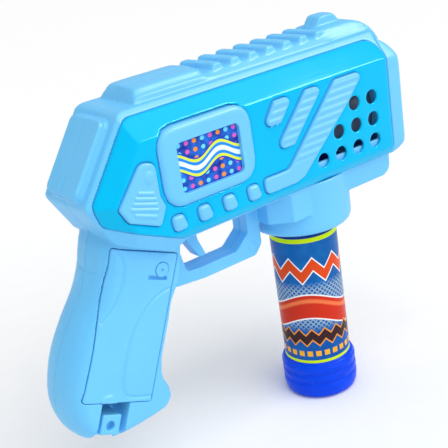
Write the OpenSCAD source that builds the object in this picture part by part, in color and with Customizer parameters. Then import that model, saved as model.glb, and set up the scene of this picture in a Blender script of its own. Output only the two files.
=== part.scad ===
// Battery bubble blower in the shape of a toy pistol.
// X points forwards to the muzzle, Y to the left, Z up. The origin is the middle of the hand grip.

/* [Body] */
// Half the width across the side panels
body_half_w = 26.6; // [26:0.1:30]
// Wall of the two half shells
wall = 2; // [1.6:0.1:2.4]
// Underside of the body, above the grip centre
floor_z = 42; // [41:0.5:44]
// Top deck under the rail, above the grip centre
deck_z = 104.5; // [103:0.5:110]
// Front end of the half shells
shell_front_x = 165; // [163:0.5:172]
// Height at which the side panels fold inwards
fold_z = 92; // [90:0.5:94]
// Angle of that fold away from upright
fold_deg = 37; // [34:1:40]
// Rearmost corner of the body, along X
rear_tip_x = -8.2; // [-11:0.1:-6]
// Rearmost corner of the body, height
rear_tip_z = 69; // [67:0.5:72]
// Top rear corner of the body, along X
rear_top_x = 16.5; // [13:0.5:19]
// Lower rear corner of the body, along X
heel_x = 3; // [1:0.5:5]
// Lower rear corner of the body, height
heel_z = 49.6; // [48.5:0.1:51]
// Front end of the heel that sits on the grip, along X
heel_front_x = 29.5; // [27:0.5:32]
// Depth of the heel below the underside
heel_drop = 4.5; // [3:0.5:6]
// Depth of the bevel along the underside, across the body
floor_bevel = 2.6; // [2:0.1:3.5]
// Depth of the bevel along the heel
heel_bevel = 4.4; // [3:0.1:5.5]
// Depth of the bevel along the two rear edges
rear_bevel = 8; // [6:0.1:9]

/* [Side panel] */
// Thickness of the side panels
panel_t = 1.6; // [1.2:0.1:2]
// How far the panels stand proud of the shell's rim
panel_proud = 0.6; // [0.2:0.1:1]
// Lower edge of the panel above the underside
panel_lip = 1.3; // [1:0.1:3]
// Upper edge of the panel below the deck
panel_drop = 2.8; // [2:0.1:5]
// Width of the shell's rim behind the panel
rear_rim = 3; // [2:0.1:4]
// Diameter of a vent hole
vent_d = 7; // [5:0.1:8]
// Step between the vent holes
vent_step = 11.6; // [10:0.1:12.5]
// How far the light islands stand proud of the panel
island_proud = 0.6; // [0.3:0.1:1.2]
// Width of the picture frame
frame_w = 50; // [46:0.5:52]
// Height of the picture frame
frame_h = 36; // [32:0.5:38]
// Width of the picture sticker
sticker_w = 34; // [28:0.5:38]
// Height of the picture sticker
sticker_h = 23; // [18:0.5:26]

/* [Rail] */
// Half the width of the top rail at its foot
rail_half_w = 14; // [12:0.5:15]
// Height of the rail above the deck
rail_h = 6.6; // [5.6:0.1:8]
// Rear end of the rail
rail_rear_x = 26; // [22:0.5:30]
// Front end of the rail's rear block
block_front_x = 67; // [60:0.5:70]
// Number of cross ribs
rib_count = 7; // [4:1:8]
// Step between the cross ribs
rib_step = 10.4; // [9:0.1:11]
// Height of the front sight above the rail
sight_h = 5; // [3:0.5:6]

/* [Muzzle] */
// Length of the muzzle bezel ahead of the shells
bezel_l = 12; // [10:0.5:15]
// Radius of the round mouth
mouth_r = 17.5; // [15:0.1:18]
// Radius of the bubble head
head_r = 18.5; // [18:0.1:20]

/* [Grip] */
// Lean of the grip, bottom to the rear
grip_tilt = 23.6; // [20:0.2:27]
// Half the thickness of the grip
grip_half_t = 16.5; // [16.5:0.1:19]
// Depth of the rounding on the back of the grip
back_round = 8.5; // [7:0.5:10]
// Depth of the rounding on the front of the grip
front_round = 3.4; // [3:0.2:3.8]
// Width of the battery door
door_w = 35.6; // [34:0.2:36]
// Length of the battery door
door_l = 69.5; // [67:0.5:72]
// Radius of the hole in the lanyard lug
lanyard_r = 2.2; // [1.5:0.1:2.5]

/* [Trigger] */
// Half the thickness of the trigger guard
guard_half_t = 6; // [5.5:0.5:8]
// Bar of the trigger guard
guard_bar = 6.2; // [5:0.1:8]
// Half the thickness of the trigger
trigger_half_t = 4; // [3:0.1:4.5]
// Radius of the trigger pin
pin_r = 1.5; // [1.2:0.1:2]
// Pull of the trigger, in degrees
trigger_pull = 10; // [6:0.5:11]

/* [Bottle] */
// Distance of the bottle's axis from the grip centre
bottle_x = 120; // [118:0.5:124]
// Outer radius of the bottle's barrel
bottle_r = 17.2; // [16:0.1:18]
// Wall of the bottle
bottle_wall = 1.2; // [1:0.1:1.6]
// Outer radius of the ribbed base
base_r = 19.7; // [18.5:0.1:21]
// Height of the ribbed base
base_h = 20; // [16:0.5:24]
// Underside of the bottle, below the grip centre
bottle_drop = 79.5; // [70:0.5:90]
// Outer radius of the bottle's neck
neck_r = 12.5; // [12:0.1:13]
// Rise of the thread in one turn
thread_pitch = 4; // [3.6:0.1:4.4]
// Thickness of the paper label
label_t = 0.3; // [0.2:0.05:0.5]
// Outer radius of the collar
collar_r = 26; // [25:0.1:27]
// Underside of the collar
collar_z = 16.5; // [15.5:0.1:18]

/* [Drive] */
// Height of the motor's axis
drive_z = 68; // [67:0.5:69]
// Radius of the motor's can
motor_r = 10; // [9:0.1:11]
// Length of the motor's can
motor_l = 25; // [22:0.5:28]
// Radius of the motor's shaft
shaft_r = 1; // [0.8:0.1:1.2]
// Radius of the fan
fan_r = 18.4; // [16:0.1:18.6]
// Length of the fan along its axis
fan_l = 10; // [8:0.5:12]
// Number of fan blades
blade_count = 6; // [4:1:8]
// Tooth size of the gears
gear_module = 0.5; // [0.45:0.05:0.5]
// Teeth of the pinion
pinion_teeth = 10; // [10:1:12]
// Teeth of the pump gear
pump_teeth = 50; // [46:1:52]
// Outer radius of the soft feed tube
tube_r = 2; // [1.6:0.1:2.2]

/* [Battery] */
// Radius of a cell
cell_r = 7.25; // [7.1:0.05:7.25]
// Length of a cell
cell_l = 50.5; // [49:0.5:51]

/* [Hidden] */
$fn = 48;

// Colours
light_blue = [0.51, 0.83, 1.0];
cyan = [0.0, 0.74, 0.98];
deep_blue = [0.0, 0.28, 0.9];
dark_grey = [0.2, 0.22, 0.27];
steel = [0.72, 0.73, 0.75];
brass = [0.8, 0.65, 0.3];

// Clearances
slip = 0.3;          // moving or drop-in pieces
seat = 0.1;          // pieces that bear on each other
running = 0.05;      // a shaft in its bearing
far = 400;           // longer than the whole toy

// Plane outlines: points [x, z, corner radius]
function unit(v) = v / norm(v);
function flat(p) = [p[0], p[1]];
function item(list, i) = list[(i + len(list)) % len(list)];
function spin2(v, a) = [v[0] * cos(a) - v[1] * sin(a), v[0] * sin(a) + v[1] * cos(a)];
function area2(pts) = let (n = len(pts))
    [for (i = [0:n - 1]) cross(flat(pts[i]), flat(item(pts, i + 1)))] * [for (i = [0:n - 1]) 1];

// Points of the arc that rounds corner b between a and c
function corner_arc(a, b, c, r, steps) =
    let (u = unit(a - b), w = unit(c - b), half = acos(u * w) / 2,
        centre = b + unit(u + w) * r / sin(half), start = b + u * r / tan(half) - centre,
        sweep = (180 - 2 * half) * sign(cross(a - b, c - b)))
    r < 0.01 ? [b] : [for (k = [0:steps]) centre + spin2(start, -sweep * k / steps)];
function rounded(pts, steps = 5) = [for (i = [0:len(pts) - 1])
    each corner_arc(flat(item(pts, i - 1)), flat(pts[i]), flat(item(pts, i + 1)), pts[i][2], steps)];

// The same outline with every edge moved inwards by d
function inset(pts, d) = let (s = sign(area2(pts))) [for (i = [0:len(pts) - 1])
    let (a = flat(item(pts, i - 1)), b = flat(pts[i]), c = flat(item(pts, i + 1)),
        e = unit(b - a), f = unit(c - b), m = s * [-e[1], e[0]], n = s * [-f[1], f[0]],
        p = b + d * (m + n) / (1 + m * n))
    [p[0], p[1], max(0, pts[i][2] - d * sign(s * cross(e, f)))]];
function box_outline(x0, z0, x1, z1, r) = [[x0, z0, r], [x1, z0, r], [x1, z1, r], [x0, z1, r]];

// Solid with a side outline, from y0 to y1
module slab(pts, y0, y1) {
    translate([0, y1, 0]) rotate([90, 0, 0]) linear_extrude(y1 - y0) polygon([for (p = pts) flat(p)]);
}
// Solid with a cross section in Y and Z, from x0 to x1
module along_x(x0, x1) {
    translate([x0, 0, 0]) rotate([90, 0, 90]) linear_extrude(x1 - x0) children();
}
// Round bar along X or along Y
module x_bar(x0, x1, r) {
    translate([x0, 0, 0]) rotate([0, 90, 0]) cylinder(h = x1 - x0, r = r);
}
module y_bar(y0, y1, r) {
    translate([0, y1, 0]) rotate([90, 0, 0]) cylinder(h = y1 - y0, r = r);
}
// Frame of the grip: its own X runs forwards across the grip, its own Z up along it
module in_grip() {
    rotate([0, grip_tilt, 0]) children();
}
function grip_point(u, v) = [u * cos(grip_tilt) + v * sin(grip_tilt),
    v * cos(grip_tilt) - u * sin(grip_tilt)];
module half_space(side) {
    translate([-far / 2, side > 0 ? 0 : -far, -far / 2]) cube([far, far, far]);
}

// Tube swept along a route of points, with straight ends
function ring(p, d, r, sides) =
    let (side = unit(abs(d[2]) > 0.9 ? cross(d, [0, 1, 0]) : cross(d, [0, 0, 1])), up = cross(side, d))
    [for (k = [0:sides - 1]) p + r * (cos(360 * k / sides) * side + sin(360 * k / sides) * up)];
module sweep(route, r, sides = 8) {
    n = len(route);
    rings = [for (i = [0:n - 1]) each ring(route[i],
        unit(route[min(i + 1, n - 1)] - route[max(i - 1, 0)]), r, sides)];
    polyhedron(rings, [[for (k = [0:sides - 1]) k],
        for (i = [0:n - 2], k = [0:sides - 1]) let (a = i * sides + k, b = i * sides + (k + 1) % sides)
            each [[a, a + sides, b], [b, a + sides, b + sides]],
        [for (k = [sides - 1:-1:0]) (n - 1) * sides + k]]);
}
// Smooth curve through route points, several steps to a stretch
function bezier_step(a, b, c, d, t) = ((2 * b) + (c - a) * t + (2 * a - 5 * b + 4 * c - d) * t * t
    + (3 * b - a - 3 * c + d) * t * t * t) / 2;
function smooth(pts, steps) = [for (i = [0:len(pts) - 2], k = [0:steps - 1])
    bezier_step(pts[max(i - 1, 0)], pts[i], pts[i + 1], pts[min(i + 2, len(pts) - 1)], k / steps),
    pts[len(pts) - 1]];
function smooth_loop(pts, steps) = [for (i = [0:len(pts) - 1], k = [0:steps - 1])
    bezier_step(item(pts, i - 1), pts[i], item(pts, i + 1), item(pts, i + 2), k / steps)];
// Points of a coil along Z, from radius r0 at the foot to r1 at the top
function coil(r0, r1, length, turns, steps = 8) = [for (k = [0:turns * steps])
    let (t = k / (turns * steps), r = r0 + (r1 - r0) * t)
    [r * cos(360 * turns * t), r * sin(360 * turns * t), length * t]];

// Body: outline from the side, and the skin that gives its width
function body_outline(front) = [[front, floor_z, 0], [heel_front_x + 1.5 * heel_drop, floor_z, 2],
    [heel_front_x, floor_z - heel_drop, 2], [heel_x, heel_z, 5], [rear_tip_x, rear_tip_z, 4],
    [rear_top_x, deck_z, 5], [front, deck_z, 0]];
rim_gap = panel_t + seat;                       // skin of the panel's seat
inner_gap = rim_gap + wall;                     // skin of the inside
inner_half_w = body_half_w - inner_gap;
fold_reach = body_half_w * cos(fold_deg) + fold_z * sin(fold_deg);
bevel_edges = [[[rear_top_x, deck_z], [rear_tip_x, rear_tip_z], rear_bevel, 9],
    [[rear_tip_x, rear_tip_z], [heel_x, heel_z], rear_bevel, 9],
    [[heel_x, heel_z], [heel_front_x, floor_z - heel_drop], heel_bevel, 7],
    [[heel_front_x, floor_z], [shell_front_x, floor_z], floor_bevel, 5]];

// Everything inside the side faces, moved inwards by d
module skin(d) {
    half = body_half_w - d;
    fold = (fold_reach - d - half * cos(fold_deg)) / sin(fold_deg);
    peak = (fold_reach - d) / sin(fold_deg);
    difference() {
        along_x(-far / 2, far)
            polygon([[-half, -far / 4], [half, -far / 4], [half, fold], [0, peak], [-half, fold]]);
        for (edge = bevel_edges, side = [0, 1])
            mirror([0, side, 0]) translate([edge[0][0], body_half_w - edge[2], edge[0][1]])
                rotate([0, -atan2(edge[1][1] - edge[0][1], edge[1][0] - edge[0][0]), 0])
                rotate([-atan(edge[2] / edge[3]), 0, 0])
                translate([-far / 2, -d, -far / 2]) cube([far, far / 8, far]);
    }
}
module body_outside() {
    intersection() {
        slab(rounded(body_outline(shell_front_x)), -body_half_w, body_half_w);
        skin(panel_proud);
    }
}
module body_inside() {
    intersection() {
        slab(rounded(inset(body_outline(shell_front_x + 2 * wall), wall)), -body_half_w, body_half_w);
        skin(inner_gap);
    }
}

// Side panel outline: it follows the body inside the rim
heel_slope = (heel_z - floor_z + heel_drop) / (heel_front_x - heel_x);
panel_z0 = floor_z + panel_lip;
panel_z1 = deck_z - panel_drop;
rear_slope = (rear_top_x - rear_tip_x) / (deck_z - rear_tip_z);
panel_tip_z = rear_tip_z + 0.6;
panel_tip_x = rear_tip_x + rear_rim;
panel_low_x = heel_x - 4.5;
panel_turn_x = heel_front_x + heel_drop;
panel_outline = [[shell_front_x - 0.5, panel_z0, 2], [panel_turn_x, panel_z0, 5],
    [panel_low_x, panel_z0 + (panel_turn_x - panel_low_x) * heel_slope, 5], [panel_tip_x, panel_tip_z, 4],
    [panel_tip_x + (panel_z1 - panel_tip_z) * rear_slope, panel_z1, 7], [shell_front_x - 0.5, panel_z1, 8]];

// Vent holes: columns forwards from the third, rows up from the lowest
vent_x = bottle_x - 2.6;
vent_z = floor_z + 11.6;
vents = [for (row = [0:2], col = [row > 0 ? row : 0:3])
    [vent_x + col * vent_step, vent_z + row * vent_step * 0.95]];
// Window of the half shell behind the vents, with a sill across the lowest row
window_front_x = vent_x + 3 * vent_step + vent_d / 2 + 0.8;
window_top_z = vent_z + 1.9 * vent_step + vent_d / 2 + 0.7;
vent_window = [[vent_x - 4.9, vent_z - 0.8, 1], [window_front_x, vent_z - 0.8, 1],
    [window_front_x, window_top_z, 2], [vent_x + 1.86 * vent_step, window_top_z, 2]];

// Light islands that stand up through the windows of the panel
frame_x0 = heel_front_x - 3;
frame_z0 = fold_z - 33.4;
frame_outline = box_outline(frame_x0, frame_z0, frame_x0 + frame_w, frame_z0 + frame_h, 9);
frame_mid = [frame_x0 + frame_w / 2 + 0.7, frame_z0 + frame_h / 2 - 1.2];
sticker_outline = box_outline(frame_mid[0] - sticker_w / 2, frame_mid[1] - sticker_h / 2,
    frame_mid[0] + sticker_w / 2, frame_mid[1] + sticker_h / 2, 2.5);
slider_outline = [[24, 67.3, 4], [26, 61.8, 1.5], [22, 53.6, 2], [7, 60.2, 2], [3.2, 67.3, 1.8],
    [16.8, 83.8, 4], [24.1, 82.2, 4]];
button_z0 = panel_z0 + 5;
function button(x) = [[x, button_z0, 2], [x + 7.4, button_z0, 2],
    [x + 5.2, button_z0 + 7.4, 2], [x - 1.2, button_z0 + 7.4, 2]];
buttons = [for (k = [0:3]) button(heel_front_x - 1 + 14 * k)];
slash_top = fold_z - 1.6;
small_slash = [[91, slash_top, 1.5], [102.6, slash_top, 2.5], [93.5, 79.3, 1.5], [83, 79.3, 2.5]];
middle_slash = [[110, slash_top, 1.5], [121.6, slash_top, 2.5], [99.8, 67, 1.5], [88.6, 67, 2.5]];
long_slash = [[128.5, slash_top, 1.5], [148, slash_top, 2.5], [135.6, 77.6, 4], [103.5, 50, 4],
    [98.5, 48.6, 4], [80.2, 48.6, 2.5], [79.4, 56.2, 2], [95, 56.2, 4]];
islands = concat([frame_outline, slider_outline, small_slash, middle_slash, long_slash], buttons);

// Grip: outline from the side, rounded over its thickness
grip_loop = [[42, 56], [40, 44], [37.5, 31], [34, 19.5], [28.5, 11], [25, 2.5], [21.3, -6], [18, -14],
    [17, -21.5], [19.2, -28], [19, -34.2], [13.6, -40], [3, -42], [-12, -42.5], [-23.5, -40], [-30.6, -32],
    [-33, -20.5], [-31, -9], [-26.4, 2.5], [-18.8, 14.5], [-10.2, 26], [-5, 36.5], [-1.6, 48], [7, 60],
    [26, 63]];
grip_steps = 2;
grip_curve = smooth_loop(grip_loop, grip_steps);
grip_lift = [0, 32, 55, 75, 90];                // steps round the edge, in degrees
// Outline of the grip moved inwards by d, at the step a round its edge
function grip_ring(d, a) = let (n = len(grip_curve)) [for (i = [0:n - 1])
    let (along = unit(item(grip_curve, i + 1) - item(grip_curve, i - 1)), inward = [along[1], -along[0]],
        depth = front_round + (back_round - front_round) * (1 + inward[0]) / 2)
    grip_curve[i] + inward * (d + (depth - d) * (1 - cos(a)))];
// The rounded form runs a little past the flat side faces, which then cut it
module grip_solid() {
    n = len(grip_curve);
    over = 0.25;
    last = grip_lift[len(grip_lift) - 2];
    steps = concat([for (a = grip_lift) if (a < 90) [1 - cos(a), grip_half_t * sin(a)]],
        [[1 + cos(last) * over / (1 - sin(last)) / grip_half_t, grip_half_t + over]]);
    turns = concat([for (k = [len(steps) - 1:-1:1]) [steps[k][0], -steps[k][1]]], steps);
    rings = [for (t = turns) each [for (p = grip_ring(0, acos(1 - t[0]))) [p[0], t[1], p[1]]]];
    intersection() {
        polyhedron(rings, [[for (i = [0:n - 1]) i],
            for (k = [0:len(turns) - 2], i = [0:n - 1]) let (a = k * n + i, b = k * n + (i + 1) % n)
                each [[a, a + n, b], [b, a + n, b + n]],
            [for (i = [n - 1:-1:0]) (len(turns) - 1) * n + i]]);
        translate([-far / 4, -grip_half_t, -far / 4]) cube([far / 2, 2 * grip_half_t, far / 2]);
    }
}
// Hollow of the grip: three plain steps that keep a full wall behind the rounded edge
module grip_hollow() {
    inner_half_t = grip_half_t - wall;
    for (a = [grip_lift[1], grip_lift[2], 90])
        slab(grip_ring(wall, a), -inner_half_t * sin(a), inner_half_t * sin(a));
}

// Battery door and lanyard recess, in the frame of the grip
door_v0 = -25;
door_u0 = -18.4;
door_taper = 1.9;
door_outline = [[door_u0, door_v0, 1], [door_u0 + door_w, door_v0, 1],
    [door_u0 + door_w, door_v0 + door_l, 1], [door_u0 + door_taper, door_v0 + door_l, 1],
    [door_u0 + 2.7, door_v0 + 0.86 * door_l, 60], [door_u0 + 2.5, door_v0 + 0.72 * door_l, 60],
    [door_u0 + 1.3, door_v0 + 0.5 * door_l, 60]];
recess_half_w = 7.2;
recess_u = -1.2;
lug_half_w = 5;
lug_v = door_v0 - 11.5;
lug_face = grip_half_t - 1.3;
lug_t = 3.5;
door_screw_u = 10.5;
door_screw_v = 36.7;
screw_head_r = 2.9;
door_head_r = 3.3;
screw_shank_r = 1.3;
module door_prism(gap) {
    in_grip() slab(rounded(inset(door_outline, gap)), -far / 8, -grip_half_t / 3 - gap);
}

// Trigger guard, from the side
guard_z = 11;
guard_front_x = bottle_x - 31.2;
guard_outer = [[26, 20, 0], [33, guard_z + 2, 12], [54, guard_z, 6], [guard_front_x - 4.5, guard_z, 3],
    [guard_front_x, guard_z + 5, 3], [guard_front_x, floor_z + 2, 0], [26, floor_z + 2, 0]];
guard_post = 7.6;
opening_top_z = floor_z + 2 * wall;
guard_inner = [[41, 31, 5], [43.6, guard_z + guard_bar + 0.6, 3], [52, guard_z + guard_bar, 4],
    [guard_front_x - guard_post - 8.4, guard_z + guard_bar, 2],
    [guard_front_x - guard_post, guard_z + guard_bar + 7, 2],
    [guard_front_x - guard_post, floor_z, 2], [44, floor_z, 2]];

// Collar, its rear block and the chin under the muzzle
collar_round = 3;
collar_hole_r = bottle_r + label_t + 0.7;
chin_z = 31.3;
block_z = 27.5;
block_half_w = 23.5;
block_rear_x = guard_front_x - 0.8;
chin_outline = [[bottle_x, chin_z, 0], [shell_front_x, chin_z, 6], [shell_front_x, floor_z + 3, 0],
    [bottle_x, floor_z + 3, 0]];
chin_half_w = 22;
module collar_outside() {
    translate([bottle_x, 0, 0]) rotate_extrude($fn = 72)
        polygon(rounded([[0, collar_z, 0], [collar_r - 0.6, collar_z, collar_round],
            [collar_r, collar_z + 4, 1], [collar_r, floor_z + 6, 0], [0, floor_z + 6, 0]]));
    translate([0, 0, block_z]) linear_extrude(floor_z + 3 - block_z)
        polygon([[bottle_x, -block_half_w], [block_rear_x + 9, -block_half_w],
            [block_rear_x, -block_half_w + 9], [block_rear_x, block_half_w - 9],
            [block_rear_x + 9, block_half_w], [bottle_x, block_half_w]]);
    slab(rounded(chin_outline), -chin_half_w, chin_half_w);
}
// Levels of the bottle's socket inside the collar
socket_z0 = collar_z + wall + 1.5;
neck_top_z = socket_z0 + 13;
gasket_t = 1.4;
socket_top_z = neck_top_z + seat + gasket_t;     // ceiling of the socket
flange_z = socket_top_z - 2;
socket_roof = 2.2;
flange_r = collar_r - wall - seat;
thread_h = 1.3;
thread_w = 1.4;
socket_r = neck_r + thread_h + 0.5;              // bore round the neck
socket_wall = 2.4;
dip_r = 2.5;
module collar_inside() {
    translate([bottle_x, 0, 0]) {
        translate([0, 0, collar_z - 1]) cylinder(h = far / 8, r = collar_hole_r);
        translate([0, 0, collar_z + wall]) cylinder(h = flange_z - collar_z - wall, r = collar_r - 2 * wall);
        translate([0, 0, flange_z - seat])
            cylinder(h = floor_z + 2 * wall + seat - flange_z, r = collar_r - wall);
    }
    chin_room = [[bottle_x, chin_z, 0], [shell_front_x, chin_z, 6], [shell_front_x, floor_z + 3 * wall, 0],
        [bottle_x, floor_z + 3 * wall, 0]];
    slab(rounded(inset(chin_room, wall)), -chin_half_w + wall, chin_half_w - wall);
}

// Rail on the deck: rear block, ribbed stretch, front sight and a nose that curves down over the muzzle
rail_low = 3.1;                                  // how far the ribbed part lies below the rear block
sight_x = bottle_x + 27.5;
nose_x0 = sight_x - 11;
nose_x1 = shell_front_x + 9.5;
nose_z = deck_z - 5.5;
nose_half_w = rail_half_w - 1;
module nose(gap) {
    top_z = deck_z + rail_h;
    intersection() {
        along_x(nose_x0, nose_x1 + gap)
            polygon([[-nose_half_w - gap, nose_z - gap], [nose_half_w + gap, nose_z - gap],
                [nose_half_w + gap, deck_z + 1], [nose_half_w - 3, top_z],
                [3 - nose_half_w, top_z], [-nose_half_w - gap, deck_z + 1]]);
        slab(rounded([[nose_x0, deck_z - 1, 0], [shell_front_x - 2, deck_z - 1, 0],
            [shell_front_x - 2, nose_z - gap, 0], [nose_x1 + gap, nose_z - gap, 0],
            [shell_front_x, top_z, 16], [nose_x0 + 3, top_z, 0]], 6), -rail_half_w, rail_half_w);
    }
}
module rail() {
    top_z = deck_z + rail_h;
    low_z = top_z - rail_low;
    intersection() {
        along_x(rail_rear_x, block_front_x) polygon([[-rail_half_w, deck_z - 1], [rail_half_w, deck_z - 1],
            [rail_half_w, deck_z + rail_h / 2], [rail_half_w - 1.2, deck_z + rail_h / 2],
            [rail_half_w - 3, top_z], [3 - rail_half_w, top_z], [1.2 - rail_half_w, deck_z + rail_h / 2],
            [-rail_half_w, deck_z + rail_h / 2]]);
        slab([[rail_rear_x, deck_z - 1], [block_front_x, deck_z - 1], [block_front_x - 2, top_z],
            [rail_rear_x + 4, top_z]], -rail_half_w, rail_half_w);
    }
    along_x(block_front_x - 1, nose_x0 + 4)
        polygon([[-rail_half_w, deck_z - 1], [rail_half_w, deck_z - 1], [rail_half_w, deck_z + 1],
            [rail_half_w - 3, low_z], [3 - rail_half_w, low_z], [-rail_half_w, deck_z + 1]]);
    nose(0);
    for (k = [0:rib_count - 1]) translate([block_front_x + 6 + k * rib_step, 0, 0]) rotate([0, 0, 8])
        slab(rounded([[-4, low_z - 1, 0], [4, low_z - 1, 0], [2.4, top_z, 1.5], [-2.4, top_z, 1.5]], 3),
            -rail_half_w + 2.6, rail_half_w - 2.6);
    slab(rounded([[sight_x - 8.5, top_z - 1, 0], [sight_x + 10, top_z - 1, 0],
        [sight_x + 5, top_z + sight_h, 2], [sight_x - 3.8, top_z + sight_h, 2]], 3), -5, 5);
}
module rail_inside() {
    roof_z = deck_z + rail_h - rail_low - wall;
    along_x(rail_rear_x + 3 * wall, shell_front_x - 8 * wall)
        polygon([[-rail_half_w + 2 * wall, deck_z - 2 * wall], [rail_half_w - 2 * wall, deck_z - 2 * wall],
            [rail_half_w - 2.5 * wall, roof_z], [2.5 * wall - rail_half_w, roof_z]]);
}
// Raised pad on the sloping rear face
pad_half_w = 14;
pad_h = 3.6;
module rear_pad() {
    lean = atan2(rear_top_x - rear_tip_x, deck_z - rear_tip_z);
    length = norm([rear_top_x - rear_tip_x, deck_z - rear_tip_z]);
    translate([rear_tip_x, 0, rear_tip_z]) rotate([0, lean, 0]) translate([0, 0, 2]) {
        along_x(-pad_h / 2, 3)
            polygon(rounded(box_outline(-pad_half_w, 0, pad_half_w, length - 6, 4)));
        along_x(-pad_h, 0)
            polygon(rounded(box_outline(1.2 - pad_half_w, 1.2, pad_half_w - 1.2, length - 7.2, 3)));
    }
}

// Drive train: places along X from the pump in the rear to the fan in front
gear_reach = gear_module * (pinion_teeth + pump_teeth) / 2;
pump_z = drive_z + gear_reach;
pump_x0 = 50;
pump_l = 12.5;
rotor_r = 10;                                    // reach of the rotor's lobes
loop_r = rotor_r + slip + tube_r;                // middle line of the tube round the rotor
pump_in_r = loop_r + tube_r + 0.2;
pump_out_r = pump_in_r + wall;
axle_r = 1.5;
gear_x = pump_x0 + pump_l + 2;
gear_w = 5;
motor_x = gear_x + gear_w + 6;
motor_flat = motor_r * 0.77;
motor_front_x = motor_x + motor_l;
fan_x = motor_front_x + 7;
shroud_in_r = fan_r + 0.6;
shroud_wall = 1.5;
shroud_r = shroud_in_r + shroud_wall;
shroud_x0 = fan_x - 3;
shroud_x1 = shell_front_x - 5.5;
head_x = shroud_x1 - 9;
head_l = 6;
head_feed_r = tube_r + 1;
module at_drive() {
    translate([0, 0, drive_z]) children();
}
module at_pump() {
    translate([0, 0, pump_z]) children();
}

// Trigger, pivoting on a cross pin inside the body
pivot_x = 50;
pivot_z = floor_z + 12;
horn_z = pivot_z + 9;
hub_r = pin_r + 3;
trigger_outline = [[54.3, horn_z + 1.5, 1], [50.5, horn_z + 1.5, 1], [46, pivot_z + 2, 3],
    [46, floor_z, 4], [47, 32, 8], [53, 21.4, 1], [57, 21.4, 1.2], [53.2, 31, 10], [53.4, 44, 8],
    [54.3, pivot_z + 2, 3]];
spring_z = floor_z + 5;
spring_rear_x = 35.5;
spring_l = 10;
switch_x = 57.3;

// Posts and screws that hold the two half shells together
screw_r = 1.2;
post_r = screw_head_r + 1.5;
posts = [grip_point(-9.5, 50), [shell_front_x - 5.5, floor_z - 4.5], [guard_front_x + 2.4, floor_z - 6.5],
    [guard_front_x - 5.6, guard_z + 5], [10.6, -33.6]];
// Outer face of the left half at each post
post_face = [body_half_w - 5, chin_half_w, block_half_w - 7.5, guard_half_t, grip_half_t];
head_sink = 4;

// Half shells
module shell_outside() {
    body_outside();
    rail();
    rear_pad();
    collar_outside();
    slab(rounded(guard_outer), -guard_half_t, guard_half_t);
    grip_solid();
}
// Solid fittings left standing in the hollow
module fittings(side) {
    for (p = posts) translate([p[0], 0, p[1]]) y_bar(-body_half_w, body_half_w, post_r);
    // Walls of the lanyard recess
    if (side < 0) in_grip() slab(box_outline(recess_u - recess_half_w - wall, -far / 8,
        recess_u + recess_half_w + wall, door_v0 - slip + wall, 0), -body_half_w, -3 + wall);
    // Posts for the trigger pin, and the wall behind the trigger spring
    translate([pivot_x, 0, pivot_z]) {
        y_bar(trigger_half_t + slip, body_half_w, hub_r);
        y_bar(-body_half_w, -trigger_half_t - slip, hub_r);
    }
    translate([0, 0, spring_z]) x_bar(spring_rear_x - 1.5, spring_rear_x, 4);
    slab(box_outline(spring_rear_x - 1.5, floor_z, spring_rear_x, spring_z + 5, 0),
        -body_half_w, body_half_w);
}
module shell_inside(side) {
    difference() {
        union() {
            body_inside();
            rail_inside();
            collar_inside();
            grip_hollow();
        }
        fittings(side);
    }
}
module island(pts, gap, y0, y1) {
    slab(rounded(inset(pts, gap), 3), y0, y1);
}
module mirrored(side) {
    mirror([0, side > 0 ? 0 : 1, 0]) children();
}
// Ribs inside the half shell that hold the motor, the fan shroud and the pump
module cradle_ribs(side) {
    intersection() {
        union() {
            for (x = [motor_x + 4, motor_front_x - 6]) difference() {
                slab(box_outline(x, drive_z - 14, x + wall, drive_z + 13, 0), -body_half_w, body_half_w);
                at_drive() intersection() {
                    x_bar(x - 1, x + wall + 1, motor_r + seat);
                    translate([x - 1, -motor_flat - seat, -far / 8])
                        cube([wall + 2, 2 * (motor_flat + seat), far / 4]);
                }
            }
            for (x = [shroud_x0 + 1, shroud_x1 - 2.5]) difference() {
                slab(box_outline(x, drive_z - 12, x + wall, drive_z + 12, 0), -body_half_w, body_half_w);
                at_drive() x_bar(x - 1, x + wall + 1, shroud_r + seat);
            }
            if (side > 0) difference() {
                slab(box_outline(pump_x0 + 4, pump_z - 8, pump_x0 + 4 + wall, pump_z + 6, 0), 0, body_half_w);
                at_pump() x_bar(pump_x0, pump_x0 + pump_l, pump_out_r + seat);
            }
        }
        skin(inner_gap - 0.5);
        half_space(side);
    }
}
module lanyard_recess() {
    in_grip() difference() {
        slab(box_outline(recess_u - recess_half_w, -far / 8, recess_u + recess_half_w, door_v0 - slip, 0),
            -far / 8, -3);
        // Lug: a plate with the hole, carried by a shelf from the back of the recess
        slab(box_outline(recess_u - lug_half_w, lug_v - 4.3, recess_u + lug_half_w, lug_v + 5.3, 0),
            -lug_face, lug_t - lug_face);
        slab(box_outline(recess_u - lug_half_w, lug_v + 3, recess_u + lug_half_w, lug_v + 5.3, 0),
            -lug_face, 0);
    }
}
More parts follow.
